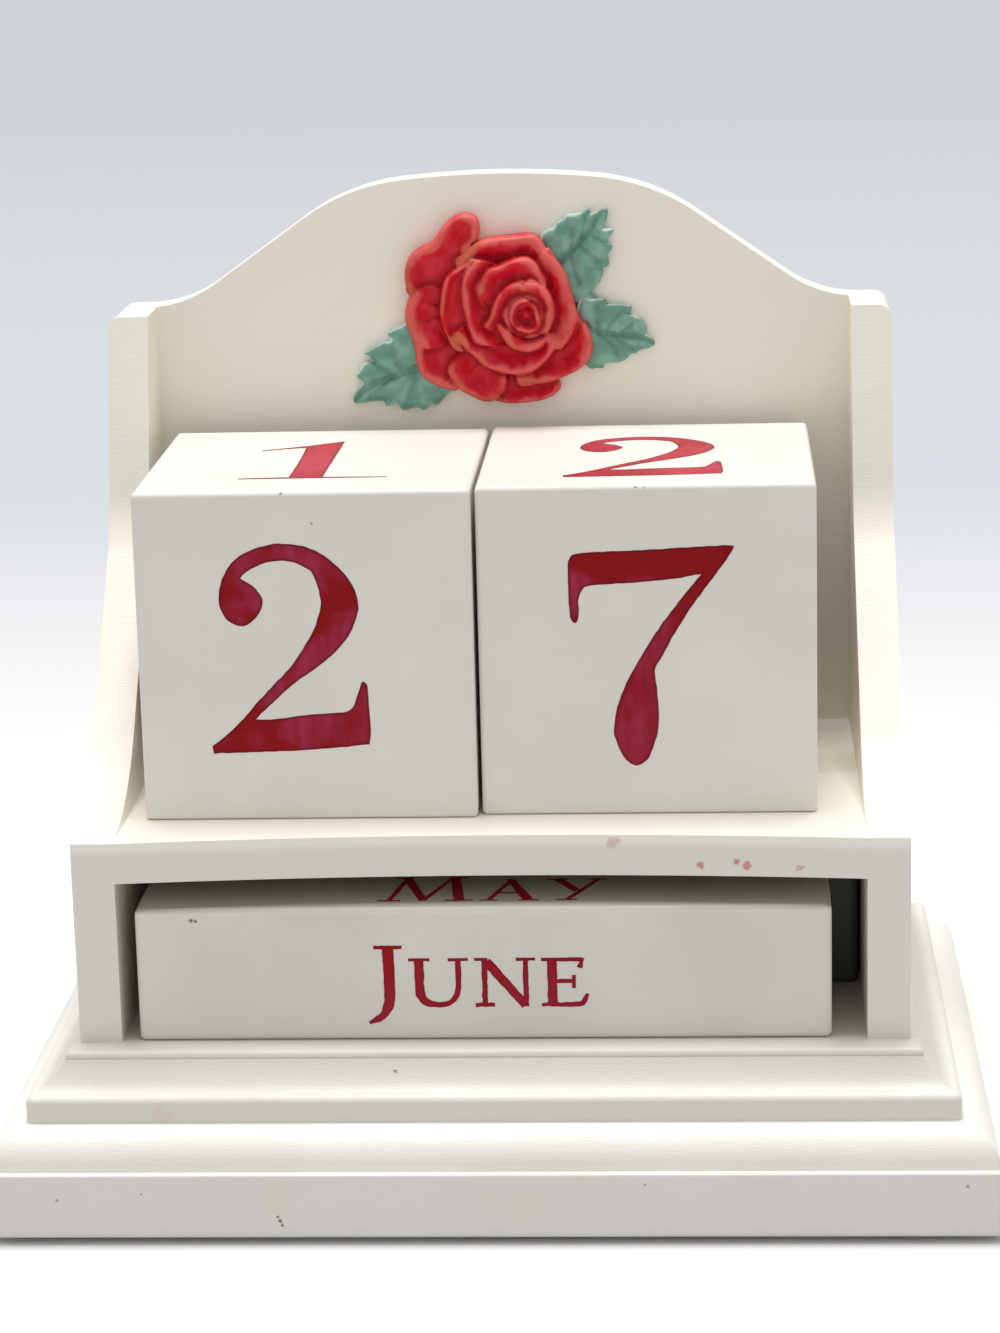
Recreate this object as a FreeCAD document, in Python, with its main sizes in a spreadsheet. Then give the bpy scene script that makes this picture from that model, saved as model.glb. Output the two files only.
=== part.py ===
# Perpetual desk calendar: a moulded base carries an open wooden house with an arched
# back. Two number cubes stand on its shelf, and three four-sided month bars lie one
# behind another in the slot under the shelf.
# Millimetres, +Z up, front towards -Y, origin at the middle of the footprint on the desk.
import FreeCAD, Part
import os
import Sketcher

# Driving dimensions. Each cell of the sheet holds one plain number.
SIZES = {
    # number cubes, and their play in the bay above the shelf
    "cube_edge": 50.0, "cube_round": 0.8, "cube_gap": 0.6, "cube_play": 10.0,
    "cube_shift": -1.8, "cube_front_gap": 12.0, "cube_stagger": 1.3, "cube_back_gap": 4.2,
    # month bars, and their play in the slot under the shelf
    "bar_length": 102.8, "bar_square": 20.5, "bar_round": 1.0, "bar_play": 7.8,
    "bar_headroom": 4.1, "bar_setback": 0.3, "bar_pull": 4.0, "bar_gap": 0.3,
    "bar_back_gap": 1.4, "front_bar_shift": -1.3, "middle_bar_shift": 3.5,
    "rear_bar_shift": 0.0,
    # house: two side boards, a shelf and a back panel
    "side_thick": 6.3, "panel_thick": 6.3, "shelf_thick": 6.2, "shelf_hollow": 3.0,
    "dado_depth": 2.0, "dado_stop": 10.0, "dado_clearance": 0.05,
    "soft_edge": 0.7, "shoulder_round": 2.0,
    # side outline: scoop, slope, bend and shoulder
    "shoulder_rise": 19.4, "shoulder_depth": 10.0, "scoop_radius": 34.0,
    "slope_angle": 47.0, "slope_length": 31.0, "bend_radius": 20.0, "bend_angle": 77.0,
    # arched top of the back panel
    "shoulder_flat": 4.4, "valley_radius": 20.0, "haunch_radius": 33.0,
    "haunch_angle": 35.0, "crown_radius": 150.0, "crown_angle": 6.0,
    # base: the step has a cove edge, the slab under it a quarter-round edge
    "plateau_side": 0.8, "plateau_front": 3.6, "plateau_rear": 1.8,
    "step_thick": 9.1, "step_edge": 4.0, "cove_run": 6.2, "cove_lip": 0.8,
    "cove_radius": 8.5, "slab_thick": 15.6, "slab_corner": 1.5,
    "ovolo_radius": 5.2, "quirk_ledge": 1.2, "quirk_rise": 0.4,
    # rose and leaves glued to the panel
    "rose_rise": 18.5, "rose_shift": -0.3, "rose_radius": 11.5, "rose_depth": 7.0,
    "petal_radius": 6.5, "petal_depth": 4.0, "petal_reach": 8.9, "petal_count": 5,
    "leaf_length": 17.0, "leaf_width": 11.5, "leaf_thick": 2.0,
    "upper_leaf_reach": 23.7, "upper_leaf_angle": 46.0,
    "right_leaf_reach": 25.4, "right_leaf_angle": -11.0,
    "lower_leaf_reach": 26.6, "lower_leaf_angle": 210.0,
    # fasteners and pads
    "screw_shank": 3.0, "screw_head": 6.0, "screw_cone": 2.2, "screw_sink": 0.4,
    "screw_clearance": 0.05, "side_screw_bite": 9.7, "side_screw_margin": 12.0,
    "step_screw_bite": 4.8, "step_screw_span": 68.0, "step_screw_pitch": 56.0,
    "pin_diameter": 1.4, "pin_bite": 10.0, "pin_sink": 0.3, "pin_clearance": 0.02,
    "side_pin_margin": 8.5, "side_pin_count": 3, "shelf_pin_span": 60.0,
    "pad_diameter": 12.0, "pad_thick": 0.9, "pad_inset": 12.0,
}

doc = FreeCAD.newDocument("desk_calendar")
sheet = doc.addObject("Spreadsheet::Sheet", "Sizes")
for row, (alias, size) in enumerate(SIZES.items(), start=1):
    sheet.set(f"A{row}", str(size))
    sheet.setAlias(f"A{row}", alias)
doc.recompute()

# Derived sizes, as expressions of the sheet. The bay is as wide and as deep as the
# larger of what it holds: two cubes side by side, or three bars one behind another.
BAY_WIDTH = ("max(2 * Sizes.cube_edge + Sizes.cube_gap + Sizes.cube_play;"
             " Sizes.bar_length + Sizes.bar_play)")
BAY_DEPTH = ("max(Sizes.cube_front_gap + Sizes.cube_stagger + Sizes.cube_edge"
             " + Sizes.cube_back_gap; Sizes.bar_setback + 3 * Sizes.bar_square"
             " + Sizes.bar_pull + Sizes.bar_gap + Sizes.bar_back_gap)")
SLOT_HEIGHT = "(Sizes.bar_square + Sizes.bar_headroom)"
STAND = f"({SLOT_HEIGHT} + Sizes.shelf_thick)"
SHOULDER = f"({STAND} + Sizes.cube_edge + Sizes.shoulder_rise)"
HALF_BAY = f"({BAY_WIDTH} / 2)"
HALF_HOUSE = f"({HALF_BAY} + Sizes.side_thick)"
BASE_MARGIN = "(Sizes.cove_run + Sizes.ovolo_radius + Sizes.quirk_ledge)"
SLAB_X = f"({HALF_HOUSE} + Sizes.plateau_side + {BASE_MARGIN})"
SLAB_Y = (f"((Sizes.plateau_front + {BAY_DEPTH} + Sizes.panel_thick"
          f" + Sizes.plateau_rear) / 2 + {BASE_MARGIN})")
STEP_X = f"({SLAB_X} - Sizes.ovolo_radius - Sizes.quirk_ledge)"
STEP_Y = f"({SLAB_Y} - Sizes.ovolo_radius - Sizes.quirk_ledge)"

# Derived places: heights of the step, the house's foot, the shelf and what stands on it;
# depths of the house's front and of the back panel's face
STEP_Z = "(Sizes.pad_thick + Sizes.slab_thick)"
FOOT_Z = f"({STEP_Z} + Sizes.step_thick)"
SHELF_Z = f"({FOOT_Z} + {SLOT_HEIGHT})"
TOP_Z = f"({FOOT_Z} + {STAND})"
FRONT_Y = f"({BASE_MARGIN} + Sizes.plateau_front - {SLAB_Y})"
PANEL_Y = f"({FRONT_Y} + {BAY_DEPTH})"

subparts = []


def value(expression):
    """The number that an expression of the sheet gives."""
    result = sheet.evalExpression(expression)
    return float(getattr(result, "Value", result))


def place(thing, x="0", y="0", z="0"):
    """Bind an object's placement to the sheet."""
    for axis, expression in (("x", x), ("y", y), ("z", z)):
        thing.setExpression(f".Placement.Base.{axis}", expression)


def keep(thing, label):
    """Register an object as a sub-part under its own label."""
    thing.Label = label
    subparts.append(thing)
    return thing


def new_body(label, x="0", y="0", z="0"):
    body = doc.addObject("PartDesign::Body", label)
    place(body, x, y, z)
    return keep(body, label)


def new_sketch(body, name, role, offset="0"):
    """A sketch on one of the body's own origin planes, moved along its normal."""
    sketch = body.newObject("Sketcher::SketchObject", name)
    plane = next(item for item in body.Origin.OriginFeatures if item.Role == role)
    sketch.AttachmentSupport = [(plane, "")]
    sketch.MapMode = "FlatFace"
    sketch.setExpression(".AttachmentOffset.Base.z", offset)
    return sketch


def fix_point(sketch, geometry, end, x, y):
    """Hold one point of a sketch at two expressions of the sheet."""
    for kind, expression in (("DistanceX", x), ("DistanceY", y)):
        number = sketch.addConstraint(
            Sketcher.Constraint(kind, -1, 1, geometry, end, value(expression)))
        sketch.setExpression(f"Constraints[{number}]", expression)


def outline(sketch, corners):
    """Close an outline of lines and arcs.

    Each corner is (x, y) or (x, y, radius, side): the radius bends the edge that leaves
    the corner, and side +1 puts the arc's centre on its left, -1 on its right.
    """
    points = [FreeCAD.Vector(value(c[0]), value(c[1]), 0) for c in corners]
    count = len(corners)
    for i, corner in enumerate(corners):
        start, end = points[i], points[(i + 1) % count]
        if len(corner) == 2:
            sketch.addGeometry(Part.LineSegment(start, end))
            continue
        radius, side = value(corner[2]), corner[3]
        chord = end - start
        across = FreeCAD.Vector(-chord.y, chord.x, 0).normalize()
        reach = (radius ** 2 - (chord.Length / 2) ** 2) ** 0.5
        centre = (start + end) * 0.5 + across * (reach * side)
        middle = centre - across * (radius * side)
        sketch.addGeometry(Part.Arc(start, middle, end))
    for i, corner in enumerate(corners):
        arc = len(corner) > 2
        # an arc is stored anticlockwise, so with its centre on the right it is reversed
        flipped = arc and corner[3] < 0
        before = corners[i - 1]
        before_flipped = len(before) > 2 and before[3] < 0
        start_end = 2 if flipped else 1
        fix_point(sketch, i, start_end, corner[0], corner[1])
        previous_end = 1 if before_flipped else 2
        sketch.addConstraint(Sketcher.Constraint(
            "Coincident", (i - 1) % count, previous_end, i, start_end))
        if arc:
            number = sketch.addConstraint(
                Sketcher.Constraint("Radius", i, value(corner[2])))
            sketch.setExpression(f"Constraints[{number}]", corner[2])


def rectangle(sketch, half_x, half_y):
    """A rectangle about the sketch's origin."""
    outline(sketch, [(f"-({half_x})", f"-({half_y})"), (half_x, f"-({half_y})"),
                     (half_x, half_y), (f"-({half_x})", half_y)])


def circle(sketch, x, y, diameter):
    number = sketch.addGeometry(Part.Circle(
        FreeCAD.Vector(value(x), value(y), 0), FreeCAD.Vector(0, 0, 1), value(diameter) / 2))
    fix_point(sketch, number, 3, x, y)
    size = sketch.addConstraint(Sketcher.Constraint("Diameter", number, value(diameter)))
    sketch.setExpression(f"Constraints[{size}]", diameter)


def pad(body, sketch, length, reverse=False, both=False):
    feature = body.newObject("PartDesign::Pad", f"{sketch.Name}_pad")
    feature.Profile = sketch
    feature.setExpression("Length", length)
    feature.Reversed = reverse
    feature.Midplane = both
    doc.recompute()
    return feature


def pocket(body, sketch, length=None, reverse=False, both=False):
    """Cut a sketch into the body, and stop if it cuts nothing."""
    before = body.Shape.Volume
    feature = body.newObject("PartDesign::Pocket", f"{sketch.Name}_cut")
    feature.Profile = sketch
    if length is None:
        feature.Type = "ThroughAll"
    else:
        feature.setExpression("Length", length)
    feature.Reversed = reverse
    feature.Midplane = both
    doc.recompute()
    if body.Shape.Volume > before - 1e-3:
        raise RuntimeError(f"{feature.Name} cuts nothing")
    return feature


def fillet(body, feature, radius, wanted):
    """Round the edges of a feature for which wanted(edge) is true."""
    names = [f"Edge{i}" for i, edge in enumerate(feature.Shape.Edges, start=1) if wanted(edge)]
    rounded = body.newObject("PartDesign::Fillet", f"{feature.Name}_round")
    rounded.Base = (feature, names)
    rounded.setExpression("Radius", radius)
    doc.recompute()
    return rounded


def lies_at(axis, expression):
    """A test for edges that lie wholly in the plane axis = expression of the body."""
    at = value(expression)

    def test(edge):
        points = [vertex.Point for vertex in edge.Vertexes] + [edge.CenterOfMass]
        return all(abs(getattr(point, axis) - at) < 1e-4 for point in points)
    return test


def is_upright(edge):
    return abs(edge.tangentAt(edge.FirstParameter).z) > 0.999


# ---- base ----------------------------------------------------------------------------
SIDE_MID_X = f"({HALF_BAY} + Sizes.side_thick / 2)"
SHANK_HOLE = "(Sizes.screw_shank + 2 * Sizes.screw_clearance)"
HEAD_HOLE = "(Sizes.screw_head + 2 * Sizes.screw_clearance)"


def side_screw_depths():
    """Depths of the two screws in a side board, behind the board's front."""
    return ["Sizes.side_screw_margin", f"({BAY_DEPTH} - Sizes.side_screw_margin)"]


def side_screw_places():
    """Plan places of the screws that come up into the side boards."""
    return [(f"{x}{SIDE_MID_X}", f"({FRONT_Y} + {depth})")
            for x in ("-", "") for depth in side_screw_depths()]


def step_screw_places():
    """Plan places of the screws that hold the two base boards together."""
    return [(f"{x}Sizes.step_screw_span / 2", f"{y}Sizes.step_screw_pitch / 2")
            for x in ("-", "") for y in ("-", "")]


def countersink(body, name, x, y):
    """A conical seat for a screw head, above its straight recess."""
    cone = body.newObject("PartDesign::SubtractiveCone", name)
    cone.setExpression("Radius1", f"{HEAD_HOLE} / 2")
    cone.setExpression("Radius2", f"{SHANK_HOLE} / 2")
    cone.setExpression("Height", "Sizes.screw_cone")
    place(cone, x, y, "Sizes.screw_sink")
    doc.recompute()


def make_base_slab():
    """Lower board: square-cut, with a quarter-round top edge above a narrow ledge."""
    body = new_body("base_slab", z="Sizes.pad_thick")
    rise = "(Sizes.ovolo_radius + Sizes.quirk_rise)"
    plan = new_sketch(body, "slab_plan", "XY_Plane")
    rectangle(plan, SLAB_X, SLAB_Y)
    board = pad(body, plan, f"Sizes.slab_thick - {rise}")
    fillet(body, board, "Sizes.slab_corner", is_upright)
    crown = new_sketch(body, "ovolo_plan", "XY_Plane", f"Sizes.slab_thick - {rise}")
    rectangle(crown, f"{SLAB_X} - Sizes.quirk_ledge", f"{SLAB_Y} - Sizes.quirk_ledge")
    top = pad(body, crown, rise)
    fillet(body, top, "Sizes.ovolo_radius", lies_at("z", "Sizes.slab_thick"))
    shanks = new_sketch(body, "slab_shank_holes", "XY_Plane")
    recesses = new_sketch(body, "slab_head_recesses", "XY_Plane")
    for x, y in side_screw_places() + step_screw_places():
        circle(shanks, x, y, SHANK_HOLE)
        circle(recesses, x, y, HEAD_HOLE)
    pocket(body, shanks, reverse=True)
    pocket(body, recesses, "Sizes.screw_sink", reverse=True)
    for i, (x, y) in enumerate(side_screw_places() + step_screw_places()):
        countersink(body, f"countersink_{i}", x, y)


def cove_edge(half, sign):
    """Corners of the cove on one side, from the lower arris up to the plateau."""
    side = "" if sign > 0 else "-"
    lower = (f"{side}({half})", "Sizes.step_edge")
    upper = (f"{side}({half} - Sizes.cove_run + Sizes.cove_lip)",
             "Sizes.step_thick - Sizes.cove_lip")
    plateau = (f"{side}({half} - Sizes.cove_run)", "Sizes.step_thick")
    return lower, upper, plateau


def make_base_step():
    """Upper board: a cove edge on all four sides, mitred at the corners."""
    body = new_body("base_step", z=STEP_Z)
    across = new_sketch(body, "step_profile", "XZ_Plane")
    lower, upper, plateau = cove_edge(STEP_X, 1)
    lower_left, upper_left, plateau_left = cove_edge(STEP_X, -1)
    outline(across, [(f"-{STEP_X}", "0"), (STEP_X, "0"),
                     (*lower, "Sizes.cove_radius", -1), upper, plateau,
                     plateau_left, (*upper_left, "Sizes.cove_radius", -1), lower_left])
    pad(body, across, f"2 * {STEP_Y}", both=True)
    above = "2 * Sizes.step_thick"
    for name, sign, side in (("front_cove", -1, "-"), ("rear_cove", 1, "")):
        lower, upper, plateau = cove_edge(STEP_Y, sign)
        beyond = f"{side}({STEP_Y} + Sizes.step_thick)"
        waste = new_sketch(body, name, "YZ_Plane")
        if sign > 0:
            corners = [(*lower, "Sizes.cove_radius", -1), upper, plateau,
                       (plateau[0], above), (beyond, above), (beyond, lower[1])]
        else:
            corners = [(*upper, "Sizes.cove_radius", -1), lower, (beyond, lower[1]),
                       (beyond, above), (plateau[0], above), plateau]
        outline(waste, corners)
        pocket(body, waste, f"3 * {STEP_X}", both=True)
    shanks = new_sketch(body, "step_shank_holes", "XY_Plane")
    for x, y in side_screw_places():
        circle(shanks, x, y, SHANK_HOLE)
    pocket(body, shanks, reverse=True)
    ends = new_sketch(body, "step_screw_ends", "XY_Plane")
    for x, y in step_screw_places():
        circle(ends, x, y, SHANK_HOLE)
    pocket(body, ends, "Sizes.step_screw_bite + Sizes.screw_clearance", reverse=True)


# ---- house ---------------------------------------------------------------------------
# The side board's front outline, in its own plane: a scoop that leaves the shelf level,
# a straight slope, and a bend up to the shoulder.
SCOOP_Y = "(Sizes.scoop_radius * sin(Sizes.slope_angle))"
SCOOP_Z = f"({STAND} + Sizes.scoop_radius * (1 - cos(Sizes.slope_angle)))"
SLOPE_Y = f"({SCOOP_Y} + Sizes.slope_length * cos(Sizes.slope_angle))"
SLOPE_Z = f"({SCOOP_Z} + Sizes.slope_length * sin(Sizes.slope_angle))"
BEND_Y = f"({SLOPE_Y} + Sizes.bend_radius * (sin(Sizes.bend_angle) - sin(Sizes.slope_angle)))"
BEND_Z = f"({SLOPE_Z} + Sizes.bend_radius * (cos(Sizes.slope_angle) - cos(Sizes.bend_angle)))"
PIN_HOLE = "(Sizes.pin_diameter + 2 * Sizes.pin_clearance)"
PIN_GRIP = "(Sizes.pin_bite + Sizes.pin_clearance)"


def side_pin_heights():
    """Heights of the panel pins in each side board, above the board's foot."""
    pitch = f"({SHOULDER} - 2 * Sizes.side_pin_margin) / (Sizes.side_pin_count - 1)"
    return [f"(Sizes.side_pin_margin + {row} * {pitch})"
            for row in range(round(value("Sizes.side_pin_count")))]


def make_side_board(side, x, housing_x, housing_reverse, outer_x):
    """Post below and cheek above in one board, with its housing for the shelf."""
    body = new_body(f"side_board_{side}", x, FRONT_Y, FOOT_Z)
    profile = new_sketch(body, f"{side}_profile", "YZ_Plane")
    outline(profile, [("0", "0"), (BAY_DEPTH, "0"), (BAY_DEPTH, SHOULDER),
                      (f"({BAY_DEPTH} - Sizes.shoulder_depth)", SHOULDER),
                      (BEND_Y, BEND_Z, "Sizes.bend_radius", -1), (SLOPE_Y, SLOPE_Z),
                      (SCOOP_Y, SCOOP_Z, "Sizes.scoop_radius", -1), ("0", STAND)])
    board = pad(body, profile, "Sizes.side_thick")
    at_outer, at_top = lies_at("x", outer_x), lies_at("z", SHOULDER)
    at_foot, at_back = lies_at("z", "0"), lies_at("y", BAY_DEPTH)
    crown = fillet(body, board, "Sizes.shoulder_round",
                   lambda edge: at_outer(edge) and at_top(edge))
    cheek_z = value(STAND)
    fillet(body, crown, "Sizes.soft_edge", lambda edge: not (at_foot(edge) or at_back(edge))
           and edge.Length > value("Sizes.side_thick")
           and edge.tangentAt(edge.FirstParameter).y < 0.999
           and (edge.CenterOfMass.z > cheek_z or at_outer(edge)))
    housing = new_sketch(body, f"{side}_housing", "YZ_Plane", housing_x)
    outline(housing, [("Sizes.dado_stop", SLOT_HEIGHT), (BAY_DEPTH, SLOT_HEIGHT),
                      (BAY_DEPTH, STAND), ("Sizes.dado_stop", STAND)])
    pocket(body, housing, "Sizes.dado_depth", reverse=housing_reverse)
    shanks = new_sketch(body, f"{side}_screw_holes", "XY_Plane")
    for depth in side_screw_depths():
        circle(shanks, "Sizes.side_thick / 2", depth, SHANK_HOLE)
    pocket(body, shanks, "Sizes.side_screw_bite + Sizes.screw_clearance", reverse=True)
    pins = new_sketch(body, f"{side}_pin_holes", "XZ_Plane", f"-{BAY_DEPTH}")
    for height in side_pin_heights():
        circle(pins, "Sizes.side_thick / 2", height, PIN_HOLE)
    pocket(body, pins, PIN_GRIP, reverse=True)


def make_shelf_board():
    """Shelf with tongues in the side boards' housings and a hollowed front edge."""
    body = new_body("shelf_board", "0", FRONT_Y, SHELF_Z)
    hollow = f"({HALF_BAY}^2 + Sizes.shelf_hollow^2) / (2 * Sizes.shelf_hollow)"
    tongue_x = f"({HALF_BAY} + Sizes.dado_depth - Sizes.dado_clearance)"
    tongue_y = "(Sizes.dado_stop + Sizes.dado_clearance)"
    plan = new_sketch(body, "shelf_plan", "XY_Plane")
    outline(plan, [(f"-{HALF_BAY}", "0", hollow, -1), (HALF_BAY, "0"), (HALF_BAY, tongue_y),
                   (tongue_x, tongue_y), (tongue_x, BAY_DEPTH),
                   (f"-{tongue_x}", BAY_DEPTH), (f"-{tongue_x}", tongue_y),
                   (f"-{HALF_BAY}", tongue_y)])
    board = pad(body, plan, "Sizes.shelf_thick")
    fillet(body, board, "Sizes.soft_edge",
           lambda edge: edge.Length > value(BAY_WIDTH)
           and edge.CenterOfMass.y < value("Sizes.dado_stop"))
    pins = new_sketch(body, "shelf_pin_holes", "XZ_Plane", f"-{BAY_DEPTH}")
    for side in ("-", ""):
        circle(pins, f"{side}Sizes.shelf_pin_span / 2", "Sizes.shelf_thick / 2", PIN_HOLE)
    pocket(body, pins, PIN_GRIP, reverse=True)


def make_back_panel():
    """Back panel, square at the shoulders, with a crown between two sweeping haunches."""
    body = new_body("back_panel", "0", PANEL_Y, FOOT_Z)
    shoulder_x = f"({HALF_HOUSE} - Sizes.shoulder_flat)"
    valley_x = f"({shoulder_x} - Sizes.valley_radius * sin(Sizes.haunch_angle))"
    crown_x = "(Sizes.crown_radius * sin(Sizes.crown_angle))"
    haunch_x = (f"({crown_x} + Sizes.haunch_radius"
                " * (sin(Sizes.haunch_angle) - sin(Sizes.crown_angle)))")
    valley_z = f"({SHOULDER} + Sizes.valley_radius * (1 - cos(Sizes.haunch_angle)))"
    haunch_z = f"({valley_z} + ({valley_x} - {haunch_x}) * tan(Sizes.haunch_angle))"
    crown_z = (f"({haunch_z} + Sizes.haunch_radius"
               " * (cos(Sizes.crown_angle) - cos(Sizes.haunch_angle)))")
    face = new_sketch(body, "panel_outline", "XZ_Plane")
    outline(face, [(f"-{HALF_HOUSE}", "0"), (HALF_HOUSE, "0"), (HALF_HOUSE, SHOULDER),
                   (shoulder_x, SHOULDER, "Sizes.valley_radius", -1),
                   (valley_x, valley_z),
                   (haunch_x, haunch_z, "Sizes.haunch_radius", 1),
                   (crown_x, crown_z, "Sizes.crown_radius", 1),
                   (f"-{crown_x}", crown_z, "Sizes.haunch_radius", 1),
                   (f"-{haunch_x}", haunch_z),
                   (f"-{valley_x}", valley_z, "Sizes.valley_radius", -1),
                   (f"-{shoulder_x}", SHOULDER), (f"-{HALF_HOUSE}", SHOULDER)])
    board = pad(body, face, "Sizes.panel_thick", reverse=True)
    rounded = fillet(body, board, "Sizes.shoulder_round",
                     lambda edge: lies_at("z", SHOULDER)(edge)
                     and abs(edge.CenterOfMass.x) > value(HALF_HOUSE) - 0.01)
    above = value(SHOULDER) - 0.01
    fillet(body, rounded, "Sizes.soft_edge", lambda edge: edge.CenterOfMass.z > above
           and abs(edge.tangentAt(edge.FirstParameter).y) < 0.01)
    holes = new_sketch(body, "panel_pin_holes", "XZ_Plane")
    for x, z in panel_pin_places():
        circle(holes, x, f"({z} - {FOOT_Z})", PIN_HOLE)
    pocket(body, holes)


def panel_pin_places():
    """Every pin through the panel: into both side boards, then into the shelf."""
    spots = [(f"{x}{SIDE_MID_X}", f"({FOOT_Z} + {z})")
             for x in ("-", "") for z in side_pin_heights()]
    spots += [(f"{x}Sizes.shelf_pin_span / 2", f"({SHELF_Z} + Sizes.shelf_thick / 2)")
              for x in ("-", "")]
    return spots


# ---- number cubes and month bars -----------------------------------------------------
def make_number_cube(side, x, y):
    """A solid cube with softened edges; x and y are its left and front faces."""
    body = new_body(f"number_cube_{side}", x, y, TOP_Z)
    face = new_sketch(body, f"{side}_cube_face", "XY_Plane")
    outline(face, [("0", "0"), ("Sizes.cube_edge", "0"), ("Sizes.cube_edge", "Sizes.cube_edge"),
                   ("0", "Sizes.cube_edge")])
    block = pad(body, face, "Sizes.cube_edge")
    fillet(body, block, "Sizes.cube_round", lambda edge: True)


def make_month_bar(name, y):
    """A square bar with softened edges; y is its front face."""
    left = f"(Sizes.{name}_bar_shift - Sizes.bar_length / 2)"
    body = new_body(f"month_bar_{name}", left, y, FOOT_Z)
    section = new_sketch(body, f"{name}_bar_section", "YZ_Plane")
    outline(section, [("0", "0"), ("Sizes.bar_square", "0"),
                      ("Sizes.bar_square", "Sizes.bar_square"), ("0", "Sizes.bar_square")])
    block = pad(body, section, "Sizes.bar_length")
    fillet(body, block, "Sizes.bar_round", lambda edge: True)


# ---- rose and leaves -----------------------------------------------------------------
ROSE_Z = f"({TOP_Z} + Sizes.cube_edge + Sizes.rose_rise)"


def half_ellipsoid(name, x, z, depth, half_x, half_z, angle="0"):
    """A flat-backed dome on the panel's face, turned by an angle about the panel's normal."""
    dome = doc.addObject("Part::Ellipsoid", name)
    dome.setExpression("Radius1", depth)
    dome.setExpression("Radius2", half_x)
    dome.setExpression("Radius3", half_z)
    dome.Angle1 = 0
    lean = FreeCAD.Rotation(FreeCAD.Vector(1, 0, 0), 90)
    turn = FreeCAD.Rotation(FreeCAD.Vector(0, -1, 0), value(angle))
    dome.Placement.Rotation = turn * lean
    place(dome, x, PANEL_Y, z)
    return dome


def make_rose_head():
    """Outer petals round a deeper heart, all with flat backs on the panel."""
    domes = [half_ellipsoid("rose_heart", "Sizes.rose_shift", ROSE_Z, "Sizes.rose_depth",
                            "Sizes.rose_radius", "Sizes.rose_radius")]
    for i in range(round(value("Sizes.petal_count"))):
        turn = f"({i} * 360 / Sizes.petal_count - 90)"
        domes.append(half_ellipsoid(
            f"rose_petal_{i}", f"(Sizes.rose_shift + Sizes.petal_reach * cos{turn})",
            f"({ROSE_Z} + Sizes.petal_reach * sin{turn})", "Sizes.petal_depth",
            "Sizes.petal_radius", "Sizes.petal_radius"))
    rose = doc.addObject("Part::MultiFuse", "rose_fuse")
    rose.Shapes = domes
    return keep(rose, "rose_head")


def make_leaf(name, rose):
    """A flat leaf that points away from the rose and butts against its petals."""
    angle, reach = f"Sizes.{name}_leaf_angle", f"Sizes.{name}_leaf_reach"
    middle = f"({reach} - Sizes.leaf_length / 2)"
    blade = half_ellipsoid(
        f"{name}_leaf_blade", f"(Sizes.rose_shift + {middle} * cos({angle}))",
        f"({ROSE_Z} + {middle} * sin({angle}))", "Sizes.leaf_thick",
        "Sizes.leaf_length / 2", "Sizes.leaf_width / 2", angle)
    leaf = doc.addObject("Part::Cut", f"{name}_leaf_cut")
    leaf.Base = blade
    leaf.Tool = rose
    return keep(leaf, f"leaf_{name}")


# ---- fasteners and pads --------------------------------------------------------------
def group(label, members):
    """Identical fasteners as one node of separate solids."""
    holder = doc.addObject("Part::Compound", f"{label}_group")
    holder.Links = members
    return keep(holder, label)


def screw(name, length, x, y):
    """A countersunk screw, head down, driven up from the underside of the slab."""
    shank = doc.addObject("Part::Cylinder", f"{name}_shank")
    shank.setExpression("Radius", "Sizes.screw_shank / 2")
    shank.setExpression("Height", length)
    head = doc.addObject("Part::Cone", f"{name}_head")
    head.setExpression("Radius1", "Sizes.screw_head / 2")
    head.setExpression("Radius2", "Sizes.screw_shank / 2")
    head.setExpression("Height", "Sizes.screw_cone")
    for piece in (shank, head):
        place(piece, x, y, "Sizes.pad_thick + Sizes.screw_sink")
    whole = doc.addObject("Part::Fuse", name)
    whole.Base = shank
    whole.Tool = head
    return whole


def pin(name, x, z):
    """A headless pin, driven from behind and sunk a little below the panel's back."""
    wire = doc.addObject("Part::Cylinder", name)
    wire.setExpression("Radius", "Sizes.pin_diameter / 2")
    wire.setExpression("Height", "Sizes.panel_thick - Sizes.pin_sink + Sizes.pin_bite")
    wire.Placement.Rotation = FreeCAD.Rotation(FreeCAD.Vector(1, 0, 0), 90)
    place(wire, x, f"{PANEL_Y} + Sizes.panel_thick - Sizes.pin_sink", z)
    return wire


def make_fasteners():
    side_length = (f"({FOOT_Z} - Sizes.pad_thick - Sizes.screw_sink"
                   " + Sizes.side_screw_bite)")
    step_length = "(Sizes.slab_thick - Sizes.screw_sink + Sizes.step_screw_bite)"
    group("side_screws", [screw(f"side_screw_{i}", side_length, x, y)
                          for i, (x, y) in enumerate(side_screw_places())])
    group("step_screws", [screw(f"step_screw_{i}", step_length, x, y)
                          for i, (x, y) in enumerate(step_screw_places())])
    group("panel_pins", [pin(f"panel_pin_{i}", x, z)
                         for i, (x, z) in enumerate(panel_pin_places())])


def make_pad(name, side_x, side_y):
    """A round felt pad under one corner of the slab."""
    disc = doc.addObject("Part::Cylinder", f"{name}_disc")
    disc.setExpression("Radius", "Sizes.pad_diameter / 2")
    disc.setExpression("Height", "Sizes.pad_thick")
    place(disc, f"{side_x}({SLAB_X} - Sizes.pad_inset)", f"{side_y}({SLAB_Y} - Sizes.pad_inset)")
    keep(disc, name)


# ---- assembly ------------------------------------------------------------------------
make_base_slab()
make_base_step()
make_side_board("left", f"-{HALF_HOUSE}", "Sizes.side_thick - Sizes.dado_depth", True, "0")
make_side_board("right", HALF_BAY, "Sizes.dado_depth", False, "Sizes.side_thick")
make_shelf_board()
make_back_panel()

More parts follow.
